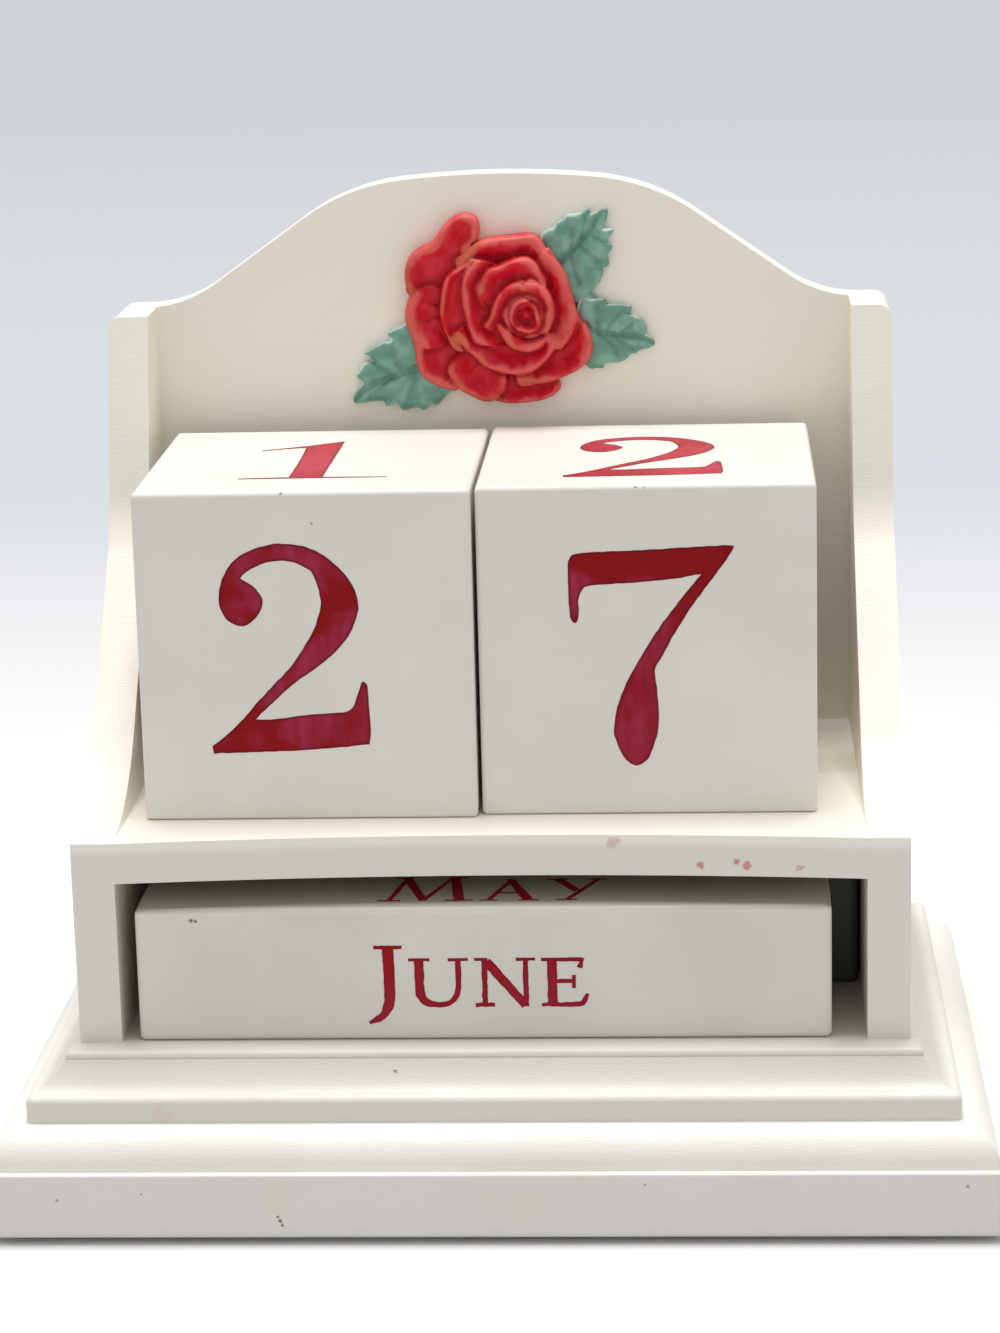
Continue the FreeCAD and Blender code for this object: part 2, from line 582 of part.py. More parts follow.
RIGHT_CUBE_Y = f"({PANEL_Y} - Sizes.cube_back_gap - Sizes.cube_edge)"
make_number_cube("left", f"(Sizes.cube_shift - Sizes.cube_gap / 2 - Sizes.cube_edge)",
                 f"({RIGHT_CUBE_Y} - Sizes.cube_stagger)")
make_number_cube("right", f"(Sizes.cube_shift + Sizes.cube_gap / 2)", RIGHT_CUBE_Y)

FRONT_BAR_Y = f"({FRONT_Y} + Sizes.bar_setback)"
MIDDLE_BAR_Y = f"({FRONT_BAR_Y} + Sizes.bar_square + Sizes.bar_pull)"
REAR_BAR_Y = f"({MIDDLE_BAR_Y} + Sizes.bar_square + Sizes.bar_gap)"
make_month_bar("front", FRONT_BAR_Y)
make_month_bar("middle", MIDDLE_BAR_Y)
make_month_bar("rear", REAR_BAR_Y)

rose_head = make_rose_head()
for leaf_name in ("upper", "right", "lower"):
    make_leaf(leaf_name, rose_head)
make_fasteners()
for row, side_y in (("front", "-"), ("rear", "")):
    for side, side_x in (("left", "-"), ("right", "")):
        make_pad(f"pad_{row}_{side}", side_x, side_y)

doc.recompute()

# ---- checks and export ---------------------------------------------------------------
for thing in doc.Objects:
    if "Invalid" in thing.State or "Error" in thing.State:
        raise RuntimeError(f"{thing.Label} is {thing.State}")
os.makedirs("parts", exist_ok=True)
for thing in subparts:
    if thing.Shape.isNull() or not thing.Shape.isValid():
        raise RuntimeError(f"{thing.Label} has no valid shape")
    thing.Shape.exportStep(f"parts/{thing.Label}.step")
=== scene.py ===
import math

import bmesh
import bpy
import numpy as np
from mathutils import Matrix, Vector, noise
from mathutils.geometry import delaunay_2d_cdt


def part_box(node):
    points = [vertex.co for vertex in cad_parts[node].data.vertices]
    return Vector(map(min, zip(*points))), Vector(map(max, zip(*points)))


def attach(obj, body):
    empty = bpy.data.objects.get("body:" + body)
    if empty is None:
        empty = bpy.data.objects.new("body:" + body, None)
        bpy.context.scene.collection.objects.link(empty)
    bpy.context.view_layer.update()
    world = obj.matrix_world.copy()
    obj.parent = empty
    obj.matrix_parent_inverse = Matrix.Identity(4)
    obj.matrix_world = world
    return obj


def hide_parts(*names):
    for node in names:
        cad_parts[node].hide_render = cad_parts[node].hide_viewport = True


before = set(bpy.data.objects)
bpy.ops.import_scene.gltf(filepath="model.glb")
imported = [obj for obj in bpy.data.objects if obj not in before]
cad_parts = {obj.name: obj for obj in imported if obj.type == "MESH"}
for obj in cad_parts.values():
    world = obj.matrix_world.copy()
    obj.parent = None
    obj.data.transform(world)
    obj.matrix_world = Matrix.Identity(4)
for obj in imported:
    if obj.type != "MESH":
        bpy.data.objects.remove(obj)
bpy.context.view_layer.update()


# ---- Camera ---------------------------------------------------------------------------
# It stands a good arm's length in front of the calendar and looks a little down on it,
# turned slightly to the left. The view is upright, 3 wide to 4 high.

# The place is in metres, the angles in degrees, the lens and the sensor in millimetres.
CAMERA_PLACE = (0.0328, -0.5390, 0.2083)
CAMERA_TURN, CAMERA_DIP, CAMERA_ROLL = 3.45, 14.0, -1.46
CAMERA_LENS, CAMERA_SENSOR = 129.6, 36.0


def put_in_scene(name, data):
    """An object in the scene that holds a mesh, a lamp or a camera."""
    thing = bpy.data.objects.new(name, data)
    bpy.context.scene.collection.objects.link(thing)
    return thing


lens = bpy.data.cameras.new("camera")
lens.sensor_fit = "HORIZONTAL"
lens.sensor_width = CAMERA_SENSOR
lens.lens = CAMERA_LENS
camera = put_in_scene("camera", lens)
camera.matrix_world = (Matrix.Translation(CAMERA_PLACE)
                       @ Matrix.Rotation(math.radians(CAMERA_TURN), 4, "Z")
                       @ Matrix.Rotation(math.radians(90 - CAMERA_DIP), 4, "X")
                       @ Matrix.Rotation(math.radians(CAMERA_ROLL), 4, "Z"))
bpy.context.scene.camera = camera


# ---- Table and light ------------------------------------------------------------------
# A white table top that fades to a pale grey-blue far behind the calendar. One wide soft
# lamp hangs above it, and the room fills in evenly from all round.
def screen(red, green, blue):
    """A colour given as it looks on a screen, 0 to 255, in the shader's own numbers."""
    return tuple((c / 255) ** 2.2 for c in (red, green, blue)) + (1.0,)


class Finish:
    """A surface finish made of shader nodes, with a short call for each kind used here."""

    def __init__(self, name):
        self.material = bpy.data.materials.new(name)
        self.material.use_nodes = True
        self.nodes = self.material.node_tree.nodes
        self.link = self.material.node_tree.links.new
        self.skin = self.nodes["Principled BSDF"]
        self.coords = self.add("ShaderNodeTexCoord").outputs["Object"]

    def add(self, kind, **settings):
        """A new shader node with these settings."""
        node = self.nodes.new(kind)
        for key, value in settings.items():
            setattr(node, key, value)
        return node

    def feed(self, socket, value):
        """Puts a plain value, or what another socket gives, into a socket."""
        if isinstance(value, bpy.types.NodeSocket):
            self.link(value, socket)
        else:
            socket.default_value = value

    def math(self, operation, a, b=0.0):
        """One step of arithmetic on two numbers or sockets."""
        node = self.add("ShaderNodeMath", operation=operation)
        self.feed(node.inputs[0], a)
        self.feed(node.inputs[1], b)
        return node.outputs["Value"]

    def axes(self):
        """Object coordinates in metres, one socket each."""
        node = self.add("ShaderNodeSeparateXYZ")
        self.link(self.coords, node.inputs[0])
        return node.outputs["X"], node.outputs["Y"], node.outputs["Z"]

    def distance(self, place):
        """Distance in metres from a place on the calendar."""
        node = self.add("ShaderNodeVectorMath", operation="DISTANCE")
        self.link(self.coords, node.inputs[0])
        node.inputs[1].default_value = place
        return node.outputs["Value"]

    def grain(self, size, detail=3.0, squeeze=(1.0, 1.0, 1.0), turn=(0.0, 0.0, 0.0)):
        """Noise, 0 to 1, in blotches of a size in metres, drawn out along an axis."""
        mapping = self.add("ShaderNodeMapping")
        mapping.inputs["Rotation"].default_value = turn
        mapping.inputs["Scale"].default_value = squeeze
        self.link(self.coords, mapping.inputs["Vector"])
        node = self.add("ShaderNodeTexNoise")
        self.link(mapping.outputs["Vector"], node.inputs["Vector"])
        node.inputs["Scale"].default_value = 1.0 / size
        node.inputs["Detail"].default_value = detail
        return node.outputs["Fac"]

    def measured(self, name):
        """A number that the mesh carries at each of its points."""
        return self.add("ShaderNodeAttribute", attribute_name=name).outputs["Fac"]

    def ramp(self, value, low, high, to_low=0.0, to_high=1.0):
        """Eases from one number to the other as value goes from low to high."""
        node = self.add("ShaderNodeMapRange", interpolation_type="SMOOTHSTEP")
        self.feed(node.inputs["Value"], value)
        for key, number in (("From Min", low), ("From Max", high),
                            ("To Min", to_low), ("To Max", to_high)):
            node.inputs[key].default_value = number
        return node.outputs["Result"]

    def blend(self, share, first, second):
        """The first colour where share is 0, and the second where it is 1."""
        node = self.add("ShaderNodeMix", data_type="RGBA")
        self.feed(node.inputs[0], share)
        self.feed(node.inputs[6], first)
        self.feed(node.inputs[7], second)
        return node.outputs[2]

    def relief(self, *layers):
        """Relief from layers of (height, depth in metres)."""
        normal = None
        for height, depth in layers:
            node = self.add("ShaderNodeBump")
            node.inputs["Distance"].default_value = depth
            self.feed(node.inputs["Height"], height)
            if normal is not None:
                self.link(normal, node.inputs["Normal"])
            normal = node.outputs["Normal"]
        self.link(normal, self.skin.inputs["Normal"])

    def coat(self, colour, roughness, shine=0.5):
        """Sets the colour, the roughness and how strongly the surface reflects."""
        self.feed(self.skin.inputs["Base Color"], colour)
        self.feed(self.skin.inputs["Roughness"], roughness)
        self.skin.inputs["Specular IOR Level"].default_value = shine
        return self.material


# The table as it is seen, and the duller white that it throws back at the calendar.
TABLE_WHITE, TABLE_BOUNCE = screen(250, 250, 250), screen(212, 212, 212)
GLOW_NEAR, GLOW_MIDDLE = screen(254, 254, 254), screen(220, 223, 229)
GLOW_FAR = screen(206, 209, 213)
# Distances in metres: where the glow takes over from the table, and where its colours turn.
TABLE_REACH = 5.0
GLOW_START, GLOW_END = 0.10, 0.30
MIDDLE_START, MIDDLE_END = 0.20, 0.52
FAR_START, FAR_END = 0.45, 2.0
LAMP_HEIGHT, LAMP_BACK, LAMP_SIZE, LAMP_WATTS = 2.2, 0.18, 0.75, 36.6
FILL_COLOUR, FILL_STRENGTH = (1.0, 1.0, 0.99, 1.0), 0.55

table_mesh = bpy.data.meshes.new("table")
table_mesh.from_pydata([(x * TABLE_REACH, y * TABLE_REACH, 0.0)
                        for x, y in ((-1, -1), (1, -1), (1, 1), (-1, 1))], [], [(0, 1, 2, 3)])
table = put_in_scene("table", table_mesh)
top = Finish("table_top")
# What the lens and a gloss see is the white table, which fades into the glow with distance.
# What the light meets is the duller white.
rays = top.add("ShaderNodeLightPath").outputs
seen = top.math("MAXIMUM", rays["Is Camera Ray"], rays["Is Glossy Ray"])
top.coat(top.blend(seen, TABLE_BOUNCE, TABLE_WHITE), 0.6)
depth = top.axes()[1]
near = top.blend(top.ramp(depth, MIDDLE_START, MIDDLE_END), GLOW_NEAR, GLOW_MIDDLE)
glow = top.add("ShaderNodeEmission")
top.link(top.blend(top.ramp(depth, FAR_START, FAR_END), near, GLOW_FAR), glow.inputs["Color"])
away = top.ramp(top.distance((0.0, 0.0, 0.0)), GLOW_START, GLOW_END)
shine = top.add("ShaderNodeMixShader")
top.link(top.math("MULTIPLY", seen, away), shine.inputs["Fac"])
top.link(top.skin.outputs[0], shine.inputs[1])
top.link(glow.outputs[0], shine.inputs[2])
top.link(shine.outputs[0], top.nodes["Material Output"].inputs["Surface"])
table_mesh.materials.append(top.material)

lamp = bpy.data.lights.new("top_lamp", "AREA")
lamp.shape = "SQUARE"
lamp.size = LAMP_SIZE
lamp.energy = LAMP_WATTS
put_in_scene("top_lamp", lamp).location = (0.0, LAMP_BACK, LAMP_HEIGHT)

room = bpy.data.worlds.new("room")
room.use_nodes = True
fill = room.node_tree.nodes["Background"]
fill.inputs["Color"].default_value = FILL_COLOUR
fill.inputs["Strength"].default_value = FILL_STRENGTH
bpy.context.scene.world = room
bpy.context.scene.view_settings.view_transform = "Standard"


# ---- Base -----------------------------------------------------------------------------
# Two boards screwed together, the lower with a quarter-round edge and the upper with a
# cove. Like all the woodwork they are brushed with warm white satin paint, in coats that
# round every arris a little.
MM = 0.001
PAINT_WHITE, PAINT_SHADE = screen(247, 244, 237), screen(242, 238, 230)
PAINT_SPECK = screen(186, 166, 130)
# How large the paint's blotches, specks, brush strokes and dimples are, and how deep it is
# combed by the strokes and dimpled.
BLOTCH, SPECK, STROKE, DIMPLE = 30.0 * MM, 2.4 * MM, 2.0 * MM, 11.0 * MM
STROKE_DEPTH, DIMPLE_DEPTH = 0.04 * MM, 0.12 * MM


def satin_paint(name, brush=(1.0, 7.0, 7.0), marks=(), tints=()):
    """Warm white paint with brush strokes, blotches, specks, marks and tints; some marks and tints
    are painted shade, and one is painted light.

    A mark is (place, size, colour, strength), in millimetres. A tint is (function,
    colour), and the function gives the share of that colour, 0 to 1.
    """
    paint = Finish(name)
    blotch = paint.grain(BLOTCH, detail=4.0)
    colour = paint.blend(paint.ramp(blotch, 0.35, 0.70), PAINT_WHITE, PAINT_SHADE)
    # Only the peaks of the noise come out, as specks.
    specks = paint.ramp(paint.grain(SPECK, detail=2.0), 0.78, 0.83, 0.0, 0.30)
    colour = paint.blend(specks, colour, PAINT_SPECK)
    for share, wash in tints:
        colour = paint.blend(share(paint), colour, wash)
    # A mark is a round patch, with an edge that noise makes ragged.
    for place, size, stain, strength in marks:
        ragged = paint.math("MULTIPLY", paint.grain(size * 0.7 * MM), size * 1.4 * MM)
        reach = paint.math("ADD", paint.distance([v * MM for v in place]), ragged)
        share = paint.ramp(reach, size * 1.1 * MM, size * 1.6 * MM, strength, 0.0)
        colour = paint.blend(share, colour, stain)
    paint.relief((paint.grain(STROKE, detail=2.0, squeeze=brush), STROKE_DEPTH),
                 (paint.grain(DIMPLE, detail=2.0), DIMPLE_DEPTH))
    return paint.coat(colour, paint.ramp(blotch, 0.3, 0.7, 0.38, 0.52), shine=0.4)


def piece_from(name, mesh, material, body, nodes=()):
    """Puts a finished mesh in the scene as one piece of the calendar."""
    piece = put_in_scene(name, mesh)
    mesh.materials.clear()
    mesh.materials.append(material)
    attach(piece, body)
    if nodes:
        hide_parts(*nodes)
    return piece


def smooth_arrises(piece):
    """Smooth shading that leaves the broad faces flat."""
    piece.data.shade_smooth()
    piece.data.set_sharp_from_angle(angle=math.radians(SHARP_TURN))
    piece.modifiers.new("flat_faces", "WEIGHTED_NORMAL").keep_sharp = True


def arc(centre, radius, start, end, steps):
    """Points on an arc, between two angles in degrees."""
    turns = [math.radians(start + (end - start) * i / steps) for i in range(steps + 1)]
    return [(centre[0] + radius * math.cos(t), centre[1] + radius * math.sin(t)) for t in turns]


def join_rings(form, rings):
    """Faces from each ring of points to the next."""
    for lower, upper in zip(rings, rings[1:]):
        for i in range(len(lower)):
            j = (i + 1) % len(lower)
            form.faces.new((lower[i], lower[j], upper[j], upper[i]))


def mesh_of(name, form):
    """The mesh of a finished form."""
    mesh = bpy.data.meshes.new(name)
    form.to_mesh(mesh)
    form.free()
    return mesh


def moulded_board(name, low, high, corner, edge):
    """A board whose four edges follow one moulding of (inset, height) points."""
    form = bmesh.new()
    middle, half = (Vector(high) + Vector(low)) / 2, (Vector(high) - Vector(low)) / 2
    rings = []
    for inset, height in edge:
        radius = max(corner - inset, LEAST_CORNER)
        ring = []
        for quarter, (side_x, side_y) in enumerate(((1, 1), (-1, 1), (-1, -1), (1, -1))):
            centre = (middle.x + side_x * (half.x - inset - radius),
                      middle.y + side_y * (half.y - inset - radius))
            for x, y in arc(centre, radius, 90 * quarter, 90 * quarter + 90, steps=4):
                ring.append(form.verts.new((x, y, low[2] + height)))
        rings.append(ring)
    join_rings(form, rings)
    form.faces.new(list(reversed(rings[0])))
    form.faces.new(rings[-1])
    return mesh_of(name, form)


# Colours of marks and tints. The stain colour also serves as painted shade on the shelf, the dust
# colour is dust and painted shade, and the greyed white is painted shade on upright fronts.
STAIN_AND_SHADE, CHIP, SMEAR = screen(228, 223, 196), screen(104, 96, 76), screen(204, 96, 100)
DUST_AND_SHADE, SHADE_GREY = screen(222, 218, 210), screen(230, 227, 221)
SLAB_LOW, SLAB_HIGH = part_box("base_slab")
STEP_LOW, STEP_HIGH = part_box("base_step")
# How far the corners of the boards are rounded, seen from above.
SLAB_CORNER, STEP_CORNER, LEAST_CORNER = 1.5 * MM, 1.2 * MM, 0.2 * MM
# The slab's edge: an upright face, then a quirk, which is a small ledge and a small rise,
# and the quarter-round, called an ovolo, up to the top.
OVOLO, QUIRK_LEDGE, QUIRK_RISE = 5.2 * MM, 1.2 * MM, 0.4 * MM
# The step's edge: an upright face, then the cove, hollowed to a radius of its own.
STEP_EDGE, COVE_RUN, COVE_LIP, COVE = 4.0 * MM, 6.2 * MM, 0.8 * MM, 12.0 * MM
# How the paint rounds the arrises, and the turn in degrees that still shows as an arris.
SOFT, CRISP, LIP = 0.9 * MM, 0.35 * MM, 1.1 * MM
SHARP_TURN = 50.0

slab_top = SLAB_HIGH[2] - SLAB_LOW[2]
quirk = slab_top - OVOLO - QUIRK_RISE
slab_edge = arc((SOFT, SOFT), SOFT, 270, 180, steps=3)
slab_edge += arc((CRISP, quirk - CRISP), CRISP, 180, 90, steps=3)
slab_edge += [(QUIRK_LEDGE, quirk)]
slab_edge += arc((QUIRK_LEDGE + OVOLO, quirk + QUIRK_RISE), OVOLO, 180, 90, steps=10)


def shaded_slab_edge(paint):
    """The share of grey on the slab's upright edge: painted shade, darker than the top."""
    z = paint.axes()[2]
    return paint.ramp(z, SLAB_LOW[2] + quirk - 0.6 * MM, SLAB_LOW[2] + quirk, 0.8, 0.0)


base_slab = piece_from(
    "moulded_slab", moulded_board("moulded_slab", SLAB_LOW, SLAB_HIGH, SLAB_CORNER, slab_edge),
    satin_paint("slab_paint", tints=[(shaded_slab_edge, SHADE_GREY)], marks=[
        ((-31.3, -52.2, 7.2), 3.0, STAIN_AND_SHADE, 0.40), ((-31.0, -52.2, 4.4), 0.35, CHIP, 0.9),
        ((-30.7, -52.2, 3.8), 0.40, CHIP, 0.9), ((-30.4, -52.2, 3.1), 0.35, CHIP, 0.9),
        ((-63.4, -52.2, 7.1), 0.3, CHIP, 0.7), ((-50.9, -52.2, 8.0), 0.25, CHIP, 0.6),
        ((22.5, -52.2, 9.3), 0.25, SMEAR, 0.8), ((68.9, -52.2, 8.9), 0.4, CHIP, 0.6)]),
    "stand", ("base_slab",))
smooth_arrises(base_slab)

step_top = STEP_HIGH[2] - STEP_LOW[2]
cove_foot = Vector((LIP + 0.5 * MM, STEP_EDGE + 0.05 * MM))
cove_head = Vector((COVE_RUN - COVE_LIP, step_top - COVE_LIP - 0.1 * MM))
chord = cove_head - cove_foot
rise = math.sqrt(COVE ** 2 - (chord.length / 2) ** 2)
hub = (cove_foot + cove_head) / 2 + Vector((-chord.y, chord.x)).normalized() * rise
turn_start = math.degrees(math.atan2(cove_foot.y - hub.y, cove_foot.x - hub.x))
turn_end = math.degrees(math.atan2(cove_head.y - hub.y, cove_head.x - hub.x))
step_edge = [(0.0, 0.0)] + arc((LIP, STEP_EDGE - LIP), LIP, 180, 90, steps=5)
step_edge += arc(hub, COVE, turn_start, turn_end, steps=10)
step_edge += arc((COVE_RUN, step_top - SOFT), SOFT, 180, 90, steps=4)


def cove_dust_and_shade(paint):
    """The share of dust and painted shade: full in the cove against the house, less on the upright
    face, least on the lip to keep its highlight down.
    """
    z = paint.axes()[2]
    lip = STEP_LOW[2] + STEP_EDGE
    return paint.math("MAXIMUM", paint.ramp(z, lip + 0.3 * MM, lip + 1.2 * MM, 0.45, 1.0),
                      paint.ramp(z, lip - 1.2 * MM, lip - 0.5 * MM, 0.75, 0.45))


base_step = piece_from(
    "coved_step", moulded_board("coved_step", STEP_LOW, STEP_HIGH, STEP_CORNER, step_edge),
    satin_paint("step_paint", tints=[(cove_dust_and_shade, DUST_AND_SHADE)], marks=[
        ((-57.6, -41.5, 22.1), 0.5, CHIP, 0.7), ((-39.5, -41.5, 22.2), 0.4, CHIP, 0.6),
        ((-14.1, -41.5, 22.8), 0.5, CHIP, 0.7), ((3.7, -41.5, 22.3), 0.3, CHIP, 0.6),
        ((-36.3, -45.4, 17.1), 0.4, SMEAR, 0.8), ((-48.6, -45.6, 17.6), 2.2, SMEAR, 0.10)]),
    "stand", ("base_step",))
smooth_arrises(base_step)


# ---- House ----------------------------------------------------------------------------
# Two shaped side boards, a shelf with a hollowed front edge, and an arched back panel,
# glued and pinned. The joints are filled and painted over, so it reads as one piece.
SIDE_LOW, SIDE_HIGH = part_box("side_board_left")
PANEL_LOW, PANEL_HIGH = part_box("back_panel")
SHELF_LOW, SHELF_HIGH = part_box("shelf_board")
# The fronts of the side boards, from the shelf up: a scoop, a slope, a bend, a shoulder.
SCOOP, SLOPE_TURN, SLOPE_RUN, BEND, BEND_TURN = 34.0 * MM, 47.0, 31.0 * MM, 20.0 * MM, 77.0
SHOULDER_DEPTH, SHOULDER_FLAT, SHOULDER_ROUND = 10.0 * MM, 4.4 * MM, 2.0 * MM
# The top of the panel, from a shoulder to its middle: a valley, a haunch and a crown.
VALLEY, HAUNCH, HAUNCH_TURN, CROWN, CROWN_TURN = 20.0 * MM, 33.0 * MM, 35.0, 150.0 * MM, 6.0
# How deep the shelf's front is hollowed, and how far the boards lap into one another.
SHELF_HOLLOW, HOLLOW_STEPS, LAP = 3.0 * MM, 10, 1.0 * MM
# How the paint rounds the arrises, and in degrees the least turn that is an arris and the
# most that is no edge at all.
ARRIS, ARRIS_TURN, FLAT_TURN = 0.9 * MM, 30.0, 0.5
CLOSE = 0.01 * MM
# How far back from the front the paint is greyed as painted shade, and where that has faded out.
SHADE_REACH, SHADE_FADE = 4.0 * MM, 6.0 * MM


def board(name, outline, along, low, high):
    """A flat board: an outline extruded along x, y or z between two places."""
    form = bmesh.new()
    ends = []
    for place in (low, high):
        corners = [{"x": (place, a, b), "y": (a, place, b), "z": (a, b, place)}[along]
                   for a, b in outline]
        ends.append([form.verts.new(corner) for corner in corners])
    form.faces.new(list(reversed(ends[0])))
    form.faces.new(ends[1])
    join_rings(form, ends)
    bmesh.ops.recalc_face_normals(form, faces=form.faces)
    return put_in_scene(name, mesh_of(name, form))


foot_z, shelf_z, shoulder_z = SIDE_LOW[2], SHELF_HIGH[2], SIDE_HIGH[2]
front_y, panel_y = SIDE_LOW[1], PANEL_LOW[1]
scoop = arc((front_y, shelf_z + SCOOP), SCOOP, 270, 270 + SLOPE_TURN, steps=12)
slope = Vector((math.cos(math.radians(SLOPE_TURN)), math.sin(math.radians(SLOPE_TURN))))
bend_start = Vector(scoop[-1]) + slope * SLOPE_RUN
bend_hub = bend_start + Vector((-slope.y, slope.x)) * BEND
bend = arc(bend_hub, BEND, 270 + SLOPE_TURN, 270 + BEND_TURN, steps=6)
cheek = [(front_y, foot_z), (panel_y + LAP, foot_z), (panel_y + LAP, shoulder_z),
         (panel_y - SHOULDER_DEPTH, shoulder_z)] + bend[::-1] + scoop[::-1]

half_house, half_bay = -SIDE_LOW[0], -SIDE_HIGH[0]
turn = math.radians(HAUNCH_TURN)
valley = arc((half_house - SHOULDER_FLAT, shoulder_z + VALLEY), VALLEY, 270,
             270 - HAUNCH_TURN, steps=8)
crown_x = CROWN * math.sin(math.radians(CROWN_TURN))
haunch_x = crown_x + HAUNCH * (math.sin(turn) - math.sin(math.radians(CROWN_TURN)))
haunch_z = valley[-1][1] + (valley[-1][0] - haunch_x) * math.tan(turn)
haunch_hub = (haunch_x - HAUNCH * math.sin(turn), haunch_z - HAUNCH * math.cos(turn))
haunch = arc(haunch_hub, HAUNCH, 90 - HAUNCH_TURN, 90 - CROWN_TURN, steps=8)
crown = arc((0.0, haunch[-1][1] - CROWN * math.cos(math.radians(CROWN_TURN))), CROWN,
            90 - CROWN_TURN, 90, steps=4)
half_arch = [(half_house, foot_z), (half_house, shoulder_z)] + valley + haunch + crown[1:]
arch = half_arch + [(-x, z) for x, z in half_arch[-2::-1]]

front_arc = [(half_bay * i / HOLLOW_STEPS,
              front_y + SHELF_HOLLOW * (1 - (i / HOLLOW_STEPS) ** 2))
             for i in range(-HOLLOW_STEPS, HOLLOW_STEPS + 1)]
shelf_plan = ([(-half_bay - LAP, front_y + LAP)] + front_arc
              + [(half_bay + LAP, front_y + LAP), (half_bay + LAP, panel_y + LAP),
                 (-half_bay - LAP, panel_y + LAP)])

# The boards are joined into one solid, so the paint runs over their joints.
back = board("painted_house", arch, "y", PANEL_LOW[1], PANEL_HIGH[1])
boards = [board("post", cheek, "x", side * half_bay, side * half_house) for side in (-1, 1)]
boards.append(board("shelf", shelf_plan, "z", SHELF_LOW[2], SHELF_HIGH[2]))
for glued_on in boards:
    join = back.modifiers.new("glued", "BOOLEAN")
    join.operation, join.solver, join.object = "UNION", "EXACT", glued_on
glued = bpy.data.meshes.new_from_object(
    back.evaluated_get(bpy.context.evaluated_depsgraph_get()))
for used in boards + [back]:
    bpy.data.objects.remove(used)

form = bmesh.new()
form.from_mesh(glued)
bmesh.ops.dissolve_limit(form, angle_limit=math.radians(FLAT_TURN), verts=form.verts,
                         edges=form.edges)
shoulder_edges = [edge for edge in form.edges
                  if all(abs(abs(v.co.x) - half_house) < CLOSE and abs(v.co.z - shoulder_z) < CLOSE
                         for v in edge.verts)]
bmesh.ops.bevel(form, geom=shoulder_edges, offset=SHOULDER_ROUND, segments=5, affect="EDGES",
                profile=0.5)
form.to_mesh(glued)
form.free()


def lit_cream(paint):
    """The share of a lighter cream in the house's paint: painted light, for the warm light bounced
    about the house.
    """
    return paint.ramp(paint.grain(BLOTCH), 0.30, 0.70, 0.80, 1.0)


def shaded_front(paint):
    """The share of duller white, as painted shade, on the upright fronts of the posts and the
    shelf.
    """
    _, y, z = paint.axes()
    low = paint.ramp(z, shelf_z - 2.2 * MM, shelf_z - 0.8 * MM, 0.8, 0.0)
    fore = paint.ramp(y, front_y + SHADE_REACH, front_y + SHADE_FADE, 1.0, 0.0)
    return paint.math("MULTIPLY", low, fore)


# A lighter cream, painted light on the house.
LIT_CREAM = screen(252, 247, 234)
HOUSE_MARKS = [
    ((18.2, -33.3, 55.4), 1.5, SMEAR, 0.35), ((31.0, -34.0, 51.8), 0.8, SMEAR, 0.75),
    ((36.3, -34.4, 52.4), 0.7, SMEAR, 0.80), ((37.8, -34.5, 51.9), 0.9, SMEAR, 0.75),
    # The broad mark on the shelf beside the right cube is a stain and painted shade.
    ((45.5, -35.1, 51.7), 0.8, SMEAR, 0.45), ((52.5, 4.0, 56.4), 9.0, STAIN_AND_SHADE, 0.55),
    ((-58.0, -30.0, 76.0), 0.4, CHIP, 0.7), ((57.1, -30.0, 81.6), 0.4, CHIP, 0.7),
    ((54.8, -6.0, 60.0), 0.5, CHIP, 0.7), ((55.3, 4.0, 66.0), 0.7, CHIP, 0.5)]
house = piece_from("painted_house", glued,
                   satin_paint("house_paint", marks=HOUSE_MARKS,
                               tints=[(lit_cream, LIT_CREAM), (shaded_front, SHADE_GREY)]),
                   "stand",
                   ("side_board_left", "side_board_right", "shelf_board", "back_panel"))
soften = house.modifiers.new("soft_arrises", "BEVEL")
soften.width, soften.segments = ARRIS, 3
soften.limit_method, soften.angle_limit = "ANGLE", math.radians(ARRIS_TURN)
soften.harden_normals = False
smooth_arrises(house)


# ---- Screws, pins and felt pads -------------------------------------------------------
# Zinc-plated countersunk screws hold the house to the step and the step to the slab, and
# thin steel pins hold the panel. Four grey felt discs under the slab spare the desk.
STEEL_BRIGHT, STEEL_DULL = screen(196, 198, 200), screen(146, 146, 144)
FELT_GREY, FELT_DARK = screen(112, 112, 110), screen(72, 72, 72)
# How many sides a pad's rim has, how far it is frayed, and how finely.
PAD_SEGMENTS, PAD_FUZZ, PAD_LUMPS = 48, 0.12 * MM, 6.0
# The section of a pad from the middle of its foot round to the middle of its top, as shares
# of its radius and its thickness.
PAD_SECTION = [(0.0, 0.0), (0.55, 0.0), (0.93, 0.0), (0.985, 0.15), (1.0, 0.5), (0.985, 0.85),
               (0.93, 1.0), (0.55, 1.0), (0.0, 1.0)]


def repaint(node, finish):
    """Gives a piece that is shown as its own solid one finish all over."""
    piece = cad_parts[node]
    piece.data.materials.clear()
    piece.data.materials.append(finish)


def zinc_steel():
    """Bright zinc plate, dulled in blotches and finely scratched."""
    steel = Finish("zinc_steel")
    steel.skin.inputs["Metallic"].default_value = 1.0
    dull = steel.ramp(steel.grain(2.0 * MM, detail=4.0), 0.4, 0.65)
    scratch = steel.grain(0.3 * MM, detail=2.0, squeeze=(1.0, 12.0, 1.0))
    steel.relief((scratch, 0.01 * MM))
    return steel.coat(steel.blend(dull, STEEL_BRIGHT, STEEL_DULL),
                      steel.ramp(dull, 0.0, 1.0, 0.28, 0.50))


